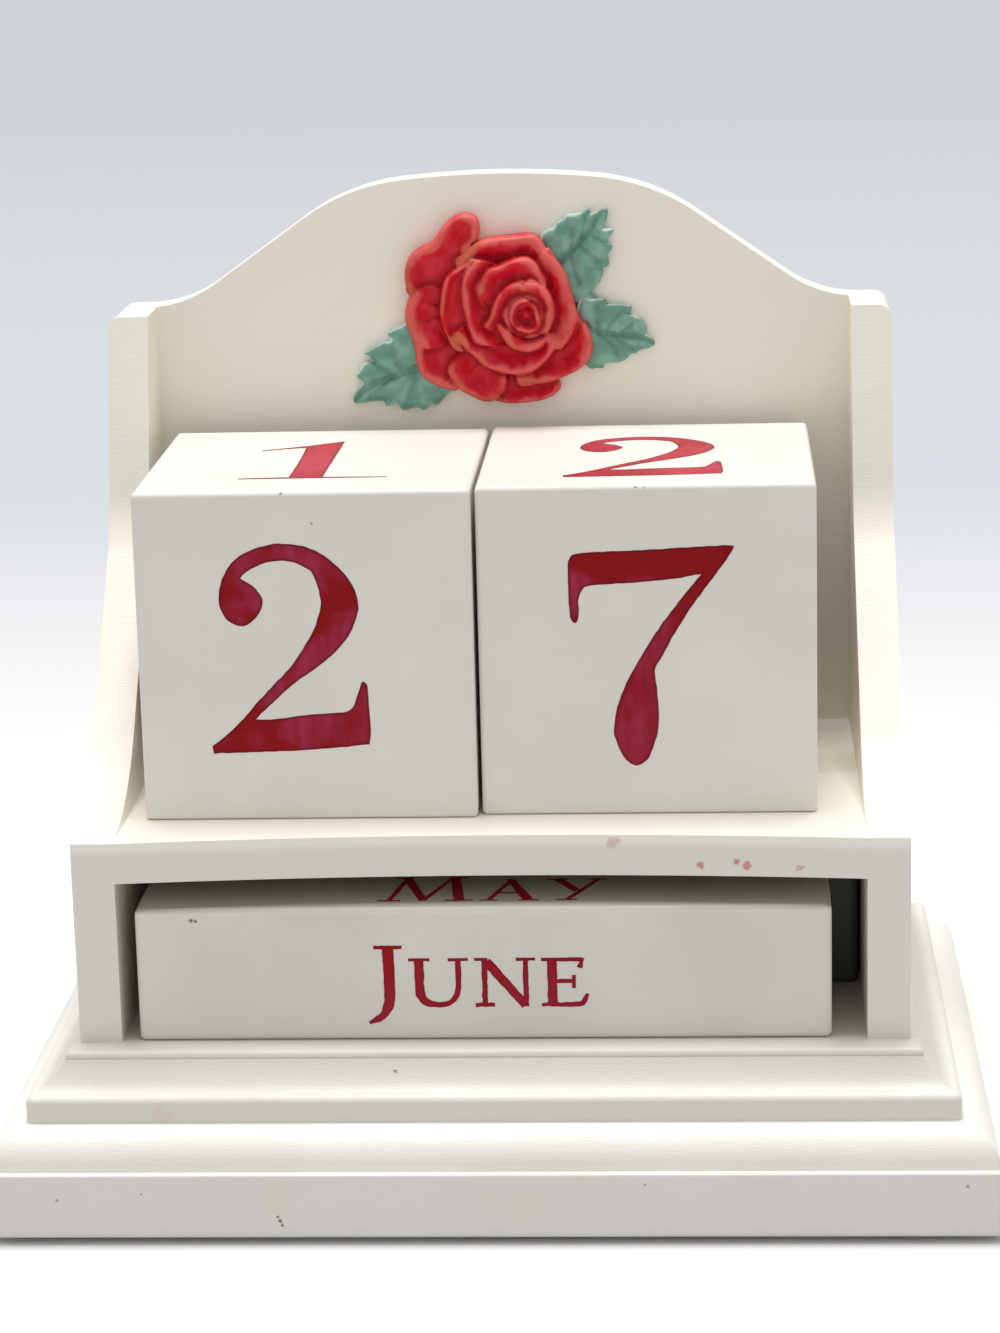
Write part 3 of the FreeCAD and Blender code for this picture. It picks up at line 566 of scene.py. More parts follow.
def grey_felt():
    """Matted grey wool felt with stray darker fibres."""
    felt = Finish("grey_felt")
    fibres = felt.grain(0.5 * MM, detail=4.0)
    felt.relief((fibres, 0.15 * MM))
    felt.skin.inputs["Sheen Weight"].default_value = 0.4
    return felt.coat(felt.blend(felt.ramp(fibres, 0.35, 0.65), FELT_DARK, FELT_GREY), 0.95,
                     shine=0.2)


plate = zinc_steel()
for fasteners in ("side_screws", "step_screws", "panel_pins"):
    repaint(fasteners, plate)

wool = grey_felt()
for place in ("front_left", "front_right", "rear_left", "rear_right"):
    pad_low, pad_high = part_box(f"pad_{place}")
    middle = (Vector(pad_low) + Vector(pad_high)) / 2
    radius = (pad_high[0] - pad_low[0]) / 2
    thick = pad_high[2] - pad_low[2]
    form = bmesh.new()
    rings = []
    for reach, height in PAD_SECTION:
        ring = []
        for i in range(PAD_SEGMENTS):
            turn = 2 * math.pi * i / PAD_SEGMENTS
            fuzz = noise.noise(Vector((PAD_LUMPS * math.cos(turn), PAD_LUMPS * math.sin(turn),
                                       height * PAD_LUMPS / 2)))
            out = reach * (radius - PAD_FUZZ * (1 + fuzz))
            ring.append(form.verts.new((middle.x + out * math.cos(turn),
                                        middle.y + out * math.sin(turn),
                                        pad_low[2] + thick * height)))
        rings.append(ring)
    join_rings(form, rings)
    bmesh.ops.remove_doubles(form, verts=form.verts, dist=0.001 * MM)
    pad_mesh = mesh_of(f"felt_{place}", form)
    pad_mesh.shade_smooth()
    piece_from(f"felt_{place}", pad_mesh, wool, "stand", (f"pad_{place}",))


# ---- Rose -----------------------------------------------------------------------------
# A cast rose glued to the panel. Each petal is a shallow cup with a rolled rim, and they
# stand one above another up to the bud. It is painted crimson, darker in the folds, with
# painted shade beside each higher petal, and dry-brushed with salmon and tan along the rims.

# Where the rose's centre lies on the calendar, across and up, and where the bud's centre
# lies about it. These and all sizes of the rose are in millimetres.
ROSE_CENTRE, BUD_CENTRE = (-0.3, 124.9), (4.5, -0.6)
# The spacing of points across the rose and along a petal's outline, how far inside an
# outline the inner points keep, and the radius of a rolled rim.
ROSE_GRID, PETAL_STEP, EDGE_GAP, ROLL = 0.16, 0.35, 0.10, 1.0
# The height of the backing between petals, how far a rim wavers up and down, how far a cup
# sinks for each millimetre of its depth, and how steeply a petal falls away outside.
BACKING, WAVER, SINK, FALL = 0.4, 0.25, 1.25, 7.0
# The least and the greatest height above the panel, and the depth of a fold that is
# painted darkest.
ROSE_LEAST, ROSE_MOST, FOLD_DEPTH = 0.8, 6.9, 1.1
# What keeps a length from being nothing, and how near two points have to be to be one.
TINY, MERGE = 1e-12, 1e-5
# Each petal, from the outermost to the bud: the height of its rim above the panel, the
# width of the rim, how deep its cup is, the line of its rim about the rose's centre, and
# the rest of its outline, tucked under other petals, all in millimetres. The first few
# make up the outline of the whole rose.
OUTER_PETALS = 8
PETALS = [
    (2.8, 1.6, 1.2, [(-13.8, 2.3), (-14.7, 4.3), (-14.7, 6.6), (-13.9, 8.7), (-12.3, 9.9),
                     (-10.3, 10.9), (-9.0, 12.6), (-7.7, 14.1), (-6.1, 15.0), (-4.5, 15.2),
                     (-3.1, 14.4), (-2.7, 12.9), (-3.0, 11.2), (-4.2, 9.6)],
                    [(-2.8, 1.7), (-7.6, 0.1)]),
    (2.4, 0.8, 1.0, [(9.6, -12.1), (8.9, -13.7), (7.3, -14.6), (4.8, -15.1), (1.9, -15.3),
                     (0.0, -15.0), (-1.1, -13.9)],
                    [(0.1, -8.1), (6.5, -8.2)]),
    (2.8, 1.9, 1.3, [(-13.6, -4.2), (-13.5, -6.2), (-13.4, -8.1), (-12.7, -10.2),
                     (-11.1, -11.7), (-9.4, -12.5), (-8.0, -12.9), (-6.4, -12.4)],
                    [(-3.0, -6.3), (-9.2, -1.4)]),
    (3.2, 2.0, 1.5, [(-13.7, 2.5), (-14.6, 1.1), (-14.9, -1.0), (-14.5, -2.9), (-13.5, -4.8),
                     (-11.9, -6.1)],
                    [(-7.7, -4.6), (-7.5, 1.8), (-10.7, 3.8)]),
    (3.3, 1.7, 1.2, [(-8.0, -9.1), (-7.6, -11.0), (-6.5, -12.7), (-4.8, -13.8), (-3.2, -14.6),
                     (-1.6, -14.8), (-0.3, -14.0), (0.9, -12.0)],
                    [(0.2, -7.9), (-4.6, -6.2)]),
    (3.4, 1.5, 1.6, [(11.8, -0.4), (13.5, -2.0), (14.6, -4.0), (15.0, -6.2), (14.4, -8.1),
                     (12.9, -9.7), (10.6, -10.8), (8.4, -11.6), (6.0, -12.0), (2.8, -11.7)],
                    [(3.4, -4.8), (6.7, -1.6)]),
    (3.7, 2.0, 1.6, [(-6.4, 7.2), (-5.2, 9.0), (-3.3, 10.7), (-0.9, 11.4), (2.3, 11.7),
                     (5.3, 11.9), (6.8, 11.1), (8.1, 9.2), (9.0, 7.6)],
                    [(7.6, 1.6), (-2.7, 1.8)]),
    (4.0, 2.4, 1.5, [(7.8, 9.6), (9.5, 7.7), (11.0, 5.3), (11.7, 2.9), (12.2, 0.8),
                     (12.6, -1.3), (12.1, -3.5), (10.8, -5.3), (9.0, -6.3)],
                    [(5.1, -3.1), (5.3, 4.9)]),
    (4.2, 0.5, 1.0, [(-2.9, 7.9), (-5.7, 7.0), (-8.0, 5.1), (-8.9, 2.0), (-9.0, -1.2),
                     (-8.1, -4.1), (-6.1, -6.4)],
                    [(0.3, -4.6), (0.5, 5.0)]),
    (4.6, 1.5, 1.5, [(-7.1, -3.8), (-5.7, -5.4), (-3.9, -7.3), (-2.0, -9.0), (0.2, -9.8),
                     (2.6, -10.3), (5.0, -9.9), (7.1, -8.5), (8.7, -6.6), (9.2, -5.1),
                     (8.3, -3.8)],
                    [(5.2, -1.4), (-2.8, -1.3)]),
    (4.9, 1.3, 1.4, [(-3.3, 8.2), (-4.6, 6.8), (-5.4, 4.6), (-5.5, 2.0), (-5.1, -0.9),
                     (-4.4, -3.3), (-2.8, -5.2)],
                    [(1.9, -4.5), (2.2, 5.1)]),
    (5.1, 1.1, 1.3, [(-3.2, 3.3), (-2.6, 5.2), (-1.3, 6.6), (0.7, 7.3), (2.6, 8.1), (4.5, 8.4),
                     (5.9, 7.7), (6.9, 6.1), (7.7, 4.2)],
                    [(6.8, 0.2), (-1.1, 0.4)]),
    (5.7, 0.9, 1.1, [(-2.0, -2.4), (-1.3, -1.2), (-0.9, 0.0), (-0.4, 1.2), (0.5, 2.8),
                     (1.8, 4.1), (3.3, 4.6), (4.7, 4.2)],
                    [(5.6, -1.2), (2.6, -3.4), (0.0, -3.0)]),
    (5.9, 1.3, 1.2, [(4.9, 4.8), (6.6, 4.4), (8.0, 3.0), (8.7, 1.2), (8.8, -0.5), (8.5, -2.1),
                     (7.5, -3.5)],
                    [(5.2, -2.8), (3.8, 1.4)]),
    (5.3, 0.3, 0.1, [(4.6, 2.4), (2.7, 1.9), (1.3, 0.4), (1.1, -1.2), (1.9, -2.9), (3.5, -4.0),
                     (5.1, -4.3), (6.6, -3.8), (7.4, -2.3), (7.5, -0.2), (6.8, 1.5)],
                    []),
    (6.1, 1.7, 0.3, [(-0.1, -1.7, 1), (0.2, -2.9), (1.1, -4.6), (2.4, -5.9), (4.3, -6.4),
                     (6.2, -6.0), (7.4, -5.0), (8.0, -3.8, 1)],
                    [(6.2, -4.7), (4.4, -4.8), (2.9, -3.9), (1.4, -2.8)]),
    (6.4, 0.7, 1.0, [(4.8, 2.0), (3.5, 1.8), (2.5, 1.0), (2.0, -0.2), (2.1, -1.5), (2.8, -2.5),
                     (3.8, -3.0)],
                    [(5.1, -1.9), (5.8, 0.2)]),
    (6.5, 0.5, 1.1, [(3.9, 1.2), (4.8, 1.6), (5.7, 1.2), (6.3, 0.4), (6.6, -0.6), (6.7, -1.7),
                     (6.4, -2.6), (5.6, -3.1), (4.6, -3.2), (3.6, -2.7)],
                    [(3.3, -1.6), (3.2, 0.1)]),
    (6.3, 0.4, 0.3, [(4.1, 0.0), (4.6, 0.2), (5.1, 0.0), (5.2, -0.6), (4.8, -1.0), (4.2, -0.7)],
                    []),
]
ROSE_CRIMSON, ROSE_LIGHT, ROSE_FOLD_AND_SHADE = screen(210, 30, 48), screen(220, 56, 70), screen(150, 8, 18)
ROSE_SALMON, ROSE_TAN = screen(230, 106, 100), screen(206, 108, 76)


def smooth_outline(points, step, closed=True):
    """A smooth line through the points, at a spacing of about step.

    A point with a third value is a corner, where the line turns sharply.
    """
    count = len(points)
    places = [np.array(p[:2], float) for p in points]
    sharp = [len(p) > 2 for p in points]
    line = []
    for i in range(count if closed else count - 1):
        j = (i + 1) % count
        here, there = places[i], places[j]
        first = not closed and i == 0
        last = not closed and j == count - 1
        before = here if sharp[i] or first else places[i - 1]
        after = there if sharp[j] or last else places[(j + 1) % count]
        leave, arrive = (there - before) / 2, (after - here) / 2
        pieces = max(1, round(float(np.hypot(*(there - here))) / step))
        # A cubic that leaves the one point and arrives at the next as their neighbours lie.
        for k in range(pieces):
            t = k / pieces
            line.append((2 * t ** 3 - 3 * t ** 2 + 1) * here + (t ** 3 - 2 * t ** 2 + t) * leave
                        + (3 * t ** 2 - 2 * t ** 3) * there + (t ** 3 - t ** 2) * arrive)
    if not closed:
        line.append(places[-1])
    return np.array(line)


def depth_inside(points, outline):
    """Distance of each point from a closed outline, positive inside it."""
    ends = np.roll(outline, -1, axis=0)
    nearest = np.full(len(points), np.inf)
    inside = np.zeros(len(points), bool)
    for (ax, ay), (bx, by) in zip(outline, ends):
        run_x, run_y = bx - ax, by - ay
        length = max(run_x ** 2 + run_y ** 2, TINY)
        along = ((points[:, 0] - ax) * run_x + (points[:, 1] - ay) * run_y) / length
        along = np.clip(along, 0, 1)
        gap = np.hypot(points[:, 0] - ax - along * run_x, points[:, 1] - ay - along * run_y)
        nearest = np.minimum(nearest, gap)
        if ay != by:
            crosses = (ay > points[:, 1]) != (by > points[:, 1])
            inside ^= crosses & (points[:, 0] < ax + (points[:, 1] - ay) / run_y * run_x)
    return np.where(inside, nearest, -nearest)


def distance_to_line(points, line):
    """Distance of each point from an open line."""
    nearest = np.full(len(points), np.inf)
    for a, b in zip(line, line[1:]):
        run = b - a
        along = np.clip((points - a) @ run / max(run @ run, TINY), 0, 1)
        nearest = np.minimum(nearest, np.hypot(*(points - a - along[:, None] * run).T))
    return nearest


def ease(value, low, high):
    """0 below low, 1 above high, and a smooth curve between."""
    t = np.clip((value - low) / (high - low), 0, 1)
    return t * t * (3 - 2 * t)


def grid_over(outlines, step, margin=0.0):
    """A square grid of points over the outlines, and its shape."""
    every = np.vstack(outlines)
    low, high = every.min(0) - margin, every.max(0) + margin
    xs = np.arange(low[0], high[0] + step, step)
    ys = np.arange(low[1], high[1] + step, step)
    points = np.stack(np.meshgrid(xs, ys), -1).reshape(-1, 2)
    return points, (len(ys), len(xs)), low


def read_grid(field, low, step, points):
    """Values of a gridded field at any points, in straight lines between grid points."""
    place = (points - low) / step
    col = np.clip(place[:, 0], 0, field.shape[1] - 1.001)
    row = np.clip(place[:, 1], 0, field.shape[0] - 1.001)
    i, j = row.astype(int), col.astype(int)
    u, v = row - i, col - j
    return ((1 - u) * (1 - v) * field[i, j] + (1 - u) * v * field[i, j + 1]
            + u * (1 - v) * field[i + 1, j] + u * v * field[i + 1, j + 1])


def soften_grid(field, times):
    """Rounds off the steps in a gridded field, as a coat of paint does."""
    for _ in range(times):
        wide = np.pad(field, 1, mode="edge")
        field = (4 * field + wide[:-2, 1:-1] + wide[2:, 1:-1] + wide[1:-1, :-2]
                 + wide[1:-1, 2:]) / 8
    return field


def waves(points, pace, layer):
    """Smooth noise, -1 to 1, at each point, with about pace waves to the millimetre.

    Each layer is a noise of its own.
    """
    return np.array([noise.noise(Vector((x * pace, y * pace, layer))) for x, y in points])


def fill_outline(outlines, inner, covered):
    """Triangles that fill closed outlines, with inner points, where covered says so.

    Returns the points, the triangles and the edges round the border, each in order.
    """
    places = [Vector(p) for outline in outlines for p in outline]
    edges, start = [], 0
    for outline in outlines:
        edges += [(start + i, start + (i + 1) % len(outline)) for i in range(len(outline))]
        start += len(outline)
    places += [Vector(p) for p in inner]
    found, _, faces, _, _, _ = delaunay_2d_cdt(places, edges, [], 0, MERGE)
    found = np.array([tuple(p) for p in found])
    faces = np.array(faces)
    middles = found[faces].mean(axis=1)
    faces = faces[covered(middles) > 0]
    used = {}
    for face in faces:
        for a, b in zip(face, np.roll(face, -1)):
            used[(int(a), int(b))] = True
    border = [(a, b) for a, b in used if (b, a) not in used]
    return found, faces, border


def closed_sheet(faces, border):
    """The points that the faces use, in order, and the faces of a sheet with a thickness.

    The sheet has those faces in front, the same behind, and walls along the border. The
    points behind follow those in front.
    """
    kept = sorted(set(faces.ravel().tolist()))
    index = {old: new for new, old in enumerate(kept)}
    shift = len(kept)
    fronts = [tuple(index[i] for i in face) for face in faces.tolist()]
    backs = [tuple(i + shift for i in reversed(face)) for face in fronts]
    walls = [(index[b], index[a], index[a] + shift, index[b] + shift) for a, b in border]
    return kept, fronts + backs + walls


def closed_mesh(name, points, faces, numbers):
    """A closed mesh whose points carry numbers for its finish, such as how near an edge."""
    mesh = bpy.data.meshes.new(name)
    mesh.from_pydata(points, [], faces)
    mesh.validate()
    for key, values in numbers.items():
        layer = mesh.attributes.new(key, "FLOAT", "POINT")
        layer.data.foreach_set("value", np.array(values, np.float32))
    turned = bmesh.new()
    turned.from_mesh(mesh)
    bmesh.ops.recalc_face_normals(turned, faces=turned.faces)
    turned.to_mesh(mesh)
    turned.free()
    return mesh


def on_panel(across, up, height):
    """A place in front of the panel, from millimetres about the rose's centre."""
    return ((ROSE_CENTRE[0] + across) * MM, panel_y - height * MM, (ROSE_CENTRE[1] + up) * MM)


def cast_relief(name, found, faces, border, heights, numbers):
    """A casting with a flat back that stands on the panel, its front at these heights."""
    kept, sheet = closed_sheet(faces, border)
    points = [on_panel(found[i][0], found[i][1], heights[i]) for i in kept]
    points += [on_panel(found[i][0], found[i][1], 0.0) for i in kept]
    mesh = closed_mesh(name, points, sheet,
                       {key: np.tile(values[kept], 2) for key, values in numbers.items()})
    mesh.shade_smooth()
    return mesh


outlines = [smooth_outline(shown + tucked, PETAL_STEP) for _, _, _, shown, tucked in PETALS]
rims = [smooth_outline(shown + ([] if tucked else shown[:1]), PETAL_STEP, closed=False)
        for _, _, _, shown, tucked in PETALS]
grid, grid_shape, grid_low = grid_over(outlines, ROSE_GRID, margin=0.6)
ripple = waves(grid, pace=0.35, layer=4.0)
petal_height = np.full(len(grid), BACKING)
# At each point of the grid: how much of the dry brush, of the painted shade beside a higher
# petal, and of the tan it gets.
rim, shade, ochre = np.zeros(len(grid)), np.zeros(len(grid)), np.zeros(len(grid))
# The dry brush catches more in some places than in others.
uneven = 0.95 + 0.55 * waves(grid, pace=0.28, layer=7.0)
for (rim_height, width, cup, _, _), outline, line in zip(PETALS, outlines, rims):
    inside = depth_inside(grid, outline)
    from_rim = distance_to_line(grid, line)
    # A rim rolled over, sinking into the cup, with a steep flank outside the petal.
    roll = min(ROLL, width)
    rolled = np.sqrt(np.clip(1 - (1 - np.clip(from_rim / roll, 0, 1)) ** 2, 0, 1))
    edge = rim_height + WAVER * ripple - roll * (1 - rolled)
    height = edge - SINK * cup * ease(from_rim, width * 0.3, min(width + 1.8, width * 2.8))
    height = np.where(inside > 0, height, edge + inside * FALL)
    # Where it stands above what was laid before, the petal covers it. The dry brush
    # catches its rim, the tan gathers on its lee side, and painted shade darkens the petals beside
    # it.
    over = (height > petal_height) & (inside > -0.6)
    brushed = (1 - ease(from_rim + 0.9 * ripple, width * 0.25, width * 1.15)) * uneven
    rim = np.where(over, np.where(inside > -0.1, brushed, 0.0), rim)
    leeward = ((outline.mean(0) - grid) @ (0.8, 0.3)) / np.ptp(outline, axis=0).max()
    ochre = np.where(over, leeward, ochre)
    shade = np.where(over, 0.0, np.maximum(shade, 1 - ease(-inside, 0.2, 2.0)))
    petal_height = np.where(over, height, petal_height)
petal_height = soften_grid(petal_height.reshape(grid_shape), 2)
# The fold colour is a darker wash where the rose lies lower than it does round about, and
# painted shade where a higher petal stands beside it.
level = soften_grid(petal_height, 40)
fold = np.clip((level - petal_height) / FOLD_DEPTH, 0, 1)
fold = np.maximum(fold, 0.7 * soften_grid(shade.reshape(grid_shape), 2))
rim = soften_grid(rim.reshape(grid_shape), 4)
ochre -= 0.5 * (1 - ease(np.hypot(*(grid - BUD_CENTRE).T), 2.6, 4.2))
ochre = soften_grid(ochre.reshape(grid_shape), 6)


def on_rose(points):
    """How far inside the whole rose each point is."""
    return np.max([depth_inside(points, outline) for outline in outlines], axis=0)


inner = grid[on_rose(grid) > EDGE_GAP]
found, faces, border = fill_outline(outlines[:OUTER_PETALS], inner, on_rose)
rose_numbers = {key: read_grid(field, grid_low, ROSE_GRID, found)
                for key, field in (("rim", rim), ("fold", fold), ("ochre", ochre))}
heights = np.clip(read_grid(petal_height, grid_low, ROSE_GRID, found), ROSE_LEAST, ROSE_MOST)


def rose_paint():
    """Crimson acrylic, deep in the folds and in painted shade beside higher petals, dry-brushed
    with salmon and tan on the rims.
    """
    paint = Finish("rose_paint")
    streaks = paint.grain(2.0 * MM, detail=4.0, squeeze=(1.0, 1.0, 0.6))
    body = paint.blend(paint.ramp(streaks, 0.40, 0.66), ROSE_CRIMSON, ROSE_LIGHT)
    body = paint.blend(paint.ramp(paint.measured("fold"), 0.05, 1.0), body, ROSE_FOLD_AND_SHADE)
    brushed = paint.math("ADD", paint.measured("rim"), paint.ramp(streaks, 0.3, 0.7, -0.30, 0.22))
    patchy = paint.ramp(paint.grain(5.0 * MM, detail=2.0), 0.3, 0.7, -0.35, 0.35)
    tan = paint.ramp(paint.math("ADD", paint.measured("ochre"), patchy), 0.10, 0.42, 0.0, 0.9)
    dry = paint.blend(tan, ROSE_SALMON, ROSE_TAN)
    colour = paint.blend(paint.ramp(brushed, 0.10, 0.90, 0.0, 0.85), body, dry)
    paint.relief((streaks, 0.10 * MM), (paint.grain(0.6 * MM, detail=2.0), 0.02 * MM))
    return paint.coat(colour, paint.ramp(streaks, 0.3, 0.7, 0.36, 0.52), shine=0.22)


piece_from("cast_rose", cast_relief("cast_rose", found, faces, border, heights, rose_numbers),
           rose_paint(), "stand", ("rose_head",))


# ---- Leaves ---------------------------------------------------------------------------
# Three cast leaves tucked under the rose and glued to the panel: a sunk midrib and side
# veins, quilted between them, with a toothed edge. Painted blue-green, worn pale at the
# teeth, with a painted highlight on the teeth that face up and to the left.

# In millimetres, as all sizes of the leaves: the spacing of points across a leaf, along its
# edge and along its veins.
LEAF_GRID, LEAF_STEP, VEIN_STEP = 0.18, 0.3, 0.5
# The height of a leaf's edge, how much its blade swells from there and between its veins,
# and how deep its midrib and its side veins are sunk.
LEAF_EDGE, LEAF_SWELL, LEAF_QUILT, MIDRIB_SUNK, VEIN_SUNK = 0.9, 0.45, 0.35, 0.40, 0.25
# From the middle of a groove: where its floor ends, and where its slope ends.
MIDRIB_GROOVE, VEIN_GROOVE = (0.15, 0.75), (0.1, 0.5)
LEAF_LEAST, LEAF_MOST = 0.3, 2.0
# Each leaf: its toothed outline, then its midrib and its side veins, in millimetres about
# the rose's centre.
LEAVES = {
    "upper": ([(6.9, 11.3), (7.9, 12.4), (9.0, 12.8), (9.5, 13.6), (10.4, 13.9), (11.2, 14.7),
               (12.3, 14.8), (13.3, 15.0), (14.3, 15.6), (14.7, 15.4), (15.0, 14.8),
               (16.0, 15.4), (16.9, 15.7), (17.6, 15.2), (17.5, 14.1), (17.1, 13.2),
               (16.9, 12.5), (17.7, 12.4), (18.5, 12.2), (18.1, 11.4), (17.5, 10.5),
               (17.8, 10.0), (18.3, 9.5), (17.9, 8.7), (17.4, 8.2), (17.6, 7.6), (17.7, 6.8),
               (17.3, 6.3), (16.6, 6.2), (16.8, 5.6), (16.3, 4.1), (15.6, 3.2), (14.8, 2.4),
               (15.1, 1.9), (15.6, 1.6), (13.8, 1.1), (11.4, 1.2), (9.1, 5.2), (7.6, 8.4)],
              [[(9.7, 7.1), (12.4, 9.6), (14.8, 12.3), (16.8, 15.2)],
               [(11.9, 9.1), (12.0, 12.9)], [(13.7, 10.9), (13.9, 14.5)],
               [(11.3, 8.4), (12.8, 3.6)], [(12.9, 9.9), (16.3, 7.2)],
               [(14.5, 11.8), (17.3, 10.2)]]),
    "right": ([(13.0, 1.5), (14.9, 1.3), (15.7, 1.4), (16.5, 1.3), (17.2, 0.9), (17.1, 0.4),
               (18.1, 0.4), (19.2, 0.4), (20.3, 0.2), (21.1, -0.1), (21.1, -0.7),
               (20.6, -1.2), (21.6, -1.5), (22.5, -2.0), (23.3, -2.9), (23.6, -3.7),
               (23.3, -4.3), (23.9, -4.8), (24.5, -5.4), (24.8, -6.2), (24.0, -6.7),
               (22.9, -6.9), (22.1, -7.2), (21.9, -7.6), (21.0, -7.6), (20.5, -8.1),
               (19.9, -8.7), (18.7, -9.0), (17.6, -9.0), (16.7, -9.2), (16.6, -9.8),
               (15.5, -9.8), (14.3, -9.8), (12.9, -7.7), (12.2, -2.8)],
              [[(13.7, -2.9), (15.6, -4.0), (19.3, -4.6), (22.5, -4.9), (24.4, -5.9)],
               [(15.8, -4.2), (18.0, -6.1), (19.2, -8.2)], [(18.3, -4.5), (21.2, -7.0)],
               [(16.9, -4.0), (18.2, -2.1), (20.0, -0.6)], [(19.3, -4.4), (21.2, -2.7)],
               [(15.5, -3.8), (15.6, 0.3)]]),
    "lower": ([(-15.0, -2.2), (-15.8, -2.5), (-16.8, -3.0), (-17.8, -3.6), (-17.5, -4.8),
               (-18.6, -5.2), (-19.7, -5.7), (-20.9, -6.3), (-21.7, -6.9), (-20.8, -7.4),
               (-20.6, -8.1), (-21.8, -8.4), (-22.4, -9.2), (-22.9, -10.0), (-23.0, -10.6),
               (-22.3, -11.3), (-22.5, -12.1), (-23.2, -12.9), (-23.7, -13.9),
               (-23.6, -14.9), (-22.3, -14.9), (-21.0, -14.7), (-19.7, -14.6),
               (-18.8, -14.6), (-18.5, -15.4), (-17.7, -15.4), (-17.0, -15.0),
               (-16.4, -15.3), (-15.9, -16.1), (-14.9, -16.1), (-14.1, -15.8),
               (-13.3, -15.7), (-12.5, -16.2), (-11.7, -15.9), (-11.0, -15.2),
               (-10.2, -15.4), (-9.4, -14.6), (-8.4, -13.6), (-7.7, -12.2), (-11.1, -6.5),
               (-13.4, -2.4)],
              [[(-13.1, -9.3), (-16.0, -10.4), (-19.3, -11.5), (-21.8, -12.8),
                (-23.4, -14.4)], [(-15.2, -10.3), (-16.8, -7.7), (-17.2, -5.6)],
               [(-17.3, -10.9), (-19.2, -8.9), (-20.8, -7.9)],
               [(-14.4, -10.0), (-16.1, -12.9), (-17.8, -14.8)],
               [(-13.5, -9.8), (-14.5, -13.2), (-15.2, -15.6)],
               [(-18.0, -11.2), (-20.2, -13.1), (-21.0, -14.4)]]),
}
LEAF_GREEN, LEAF_LIGHT = screen(104, 154, 134), screen(134, 182, 164)
LEAF_DEEP, LEAF_PALE_AND_HIGHLIGHT = screen(66, 110, 92), screen(222, 238, 226)


def leaf_paint():
    """Blue-green acrylic, deep along the veins, worn pale at the teeth and given a painted
    highlight there.
    """
    paint = Finish("leaf_paint")
    blotch = paint.grain(3.0 * MM, detail=3.0)
    colour = paint.blend(paint.ramp(blotch, 0.38, 0.66), LEAF_GREEN, LEAF_LIGHT)
    colour = paint.blend(paint.ramp(paint.measured("fold"), 0.2, 1.0, 0.0, 0.38), colour, LEAF_DEEP)
    worn_and_lit = paint.math("ADD", paint.measured("rim"), paint.ramp(blotch, 0.35, 0.65, -0.35, 0.15))
    colour = paint.blend(paint.ramp(worn_and_lit, 0.35, 1.0, 0.0, 0.85), colour, LEAF_PALE_AND_HIGHLIGHT)
    paint.relief((blotch, 0.12 * MM), (paint.grain(0.7 * MM, detail=2.0), 0.02 * MM))
    return paint.coat(colour, paint.ramp(blotch, 0.3, 0.7, 0.34, 0.5))


green = leaf_paint()
for name, (points, veins) in LEAVES.items():
    outline = smooth_outline(points, LEAF_STEP)
    grid, grid_shape, grid_low = grid_over([outline], LEAF_GRID, margin=0.4)
    inside = depth_inside(grid, outline)
    ribs = [smooth_outline(vein, VEIN_STEP, closed=False) for vein in veins]
    from_midrib = distance_to_line(grid, ribs[0])
    from_vein = np.min([distance_to_line(grid, rib) for rib in ribs[1:]], axis=0)
    height = (LEAF_EDGE + LEAF_SWELL * ease(inside, 0.0, 1.0)
              + LEAF_QUILT * ease(np.minimum(from_vein, from_midrib), 0.1, 1.6)
              - MIDRIB_SUNK * (1 - ease(from_midrib, *MIDRIB_GROOVE))
              - VEIN_SUNK * (1 - ease(from_vein, *VEIN_GROOVE)))
    height = soften_grid(height.reshape(grid_shape), 2)
    # The green is deeper along the grooves, a little wider than they are.
    deeper_along_grooves = np.maximum(1 - ease(from_midrib, 0.1, 0.8), 0.7 * (1 - ease(from_vein, 0.05, 0.5)))
    found, faces, border = fill_outline([outline], grid[inside > EDGE_GAP],
                                        lambda points: depth_inside(points, outline))
    from_edge = depth_inside(found, outline)
    # All teeth are worn a little pale, and those that face up and to the left get a painted
    # highlight on top.
    slope_up, slope_across = np.gradient(soften_grid(inside.reshape(grid_shape), 4))
    highlight_side = read_grid(-0.9 * slope_up + 0.45 * slope_across, grid_low, LEAF_GRID, found)
    highlight_side = ease(highlight_side / LEAF_GRID, -0.2, 0.8)
    leaf_numbers = {
        "rim": (1 - ease(np.abs(from_edge), 0.1, 0.75)) * (0.35 + 0.75 * highlight_side),
        "fold": read_grid(deeper_along_grooves.reshape(grid_shape), grid_low, LEAF_GRID, found)}
    heights = np.clip(read_grid(height, grid_low, LEAF_GRID, found), LEAF_LEAST, LEAF_MOST)
    casting = cast_relief(f"cast_leaf_{name}", found, faces, border, heights, leaf_numbers)
    piece_from(f"cast_leaf_{name}", casting, green, "stand", (f"leaf_{name}",))


# ---- Number cubes ---------------------------------------------------------------------
# Two solid wooden cubes, painted like the house, with duller white in blotches painted on as
# shade. Each carries six numerals, brushed on by hand in crimson, so that together they
# show 01 to 31. The 6 serves as a 9 when its cube is turned over.

# In millimetres: how far the film of paint stands out of the wood and reaches into it, the
# spacing of its points inside and along its edge, and how far that edge wobbles.
FILM_PROUD, FILM_SUNK = 0.04, 0.10
FILM_GRID, FILM_STEP, WOBBLE = 0.55, 0.45, 0.09
# How quickly the edge wobbles, and how far from it the inner points keep, both for each step
# along the edge.
QUIVER, FILM_GAP = 0.405, 0.45
INK_CRIMSON, INK_DEEP = screen(146, 6, 20), screen(104, 4, 22)
INK_STREAK, INK_THIN = screen(168, 52, 84), screen(214, 56, 78)
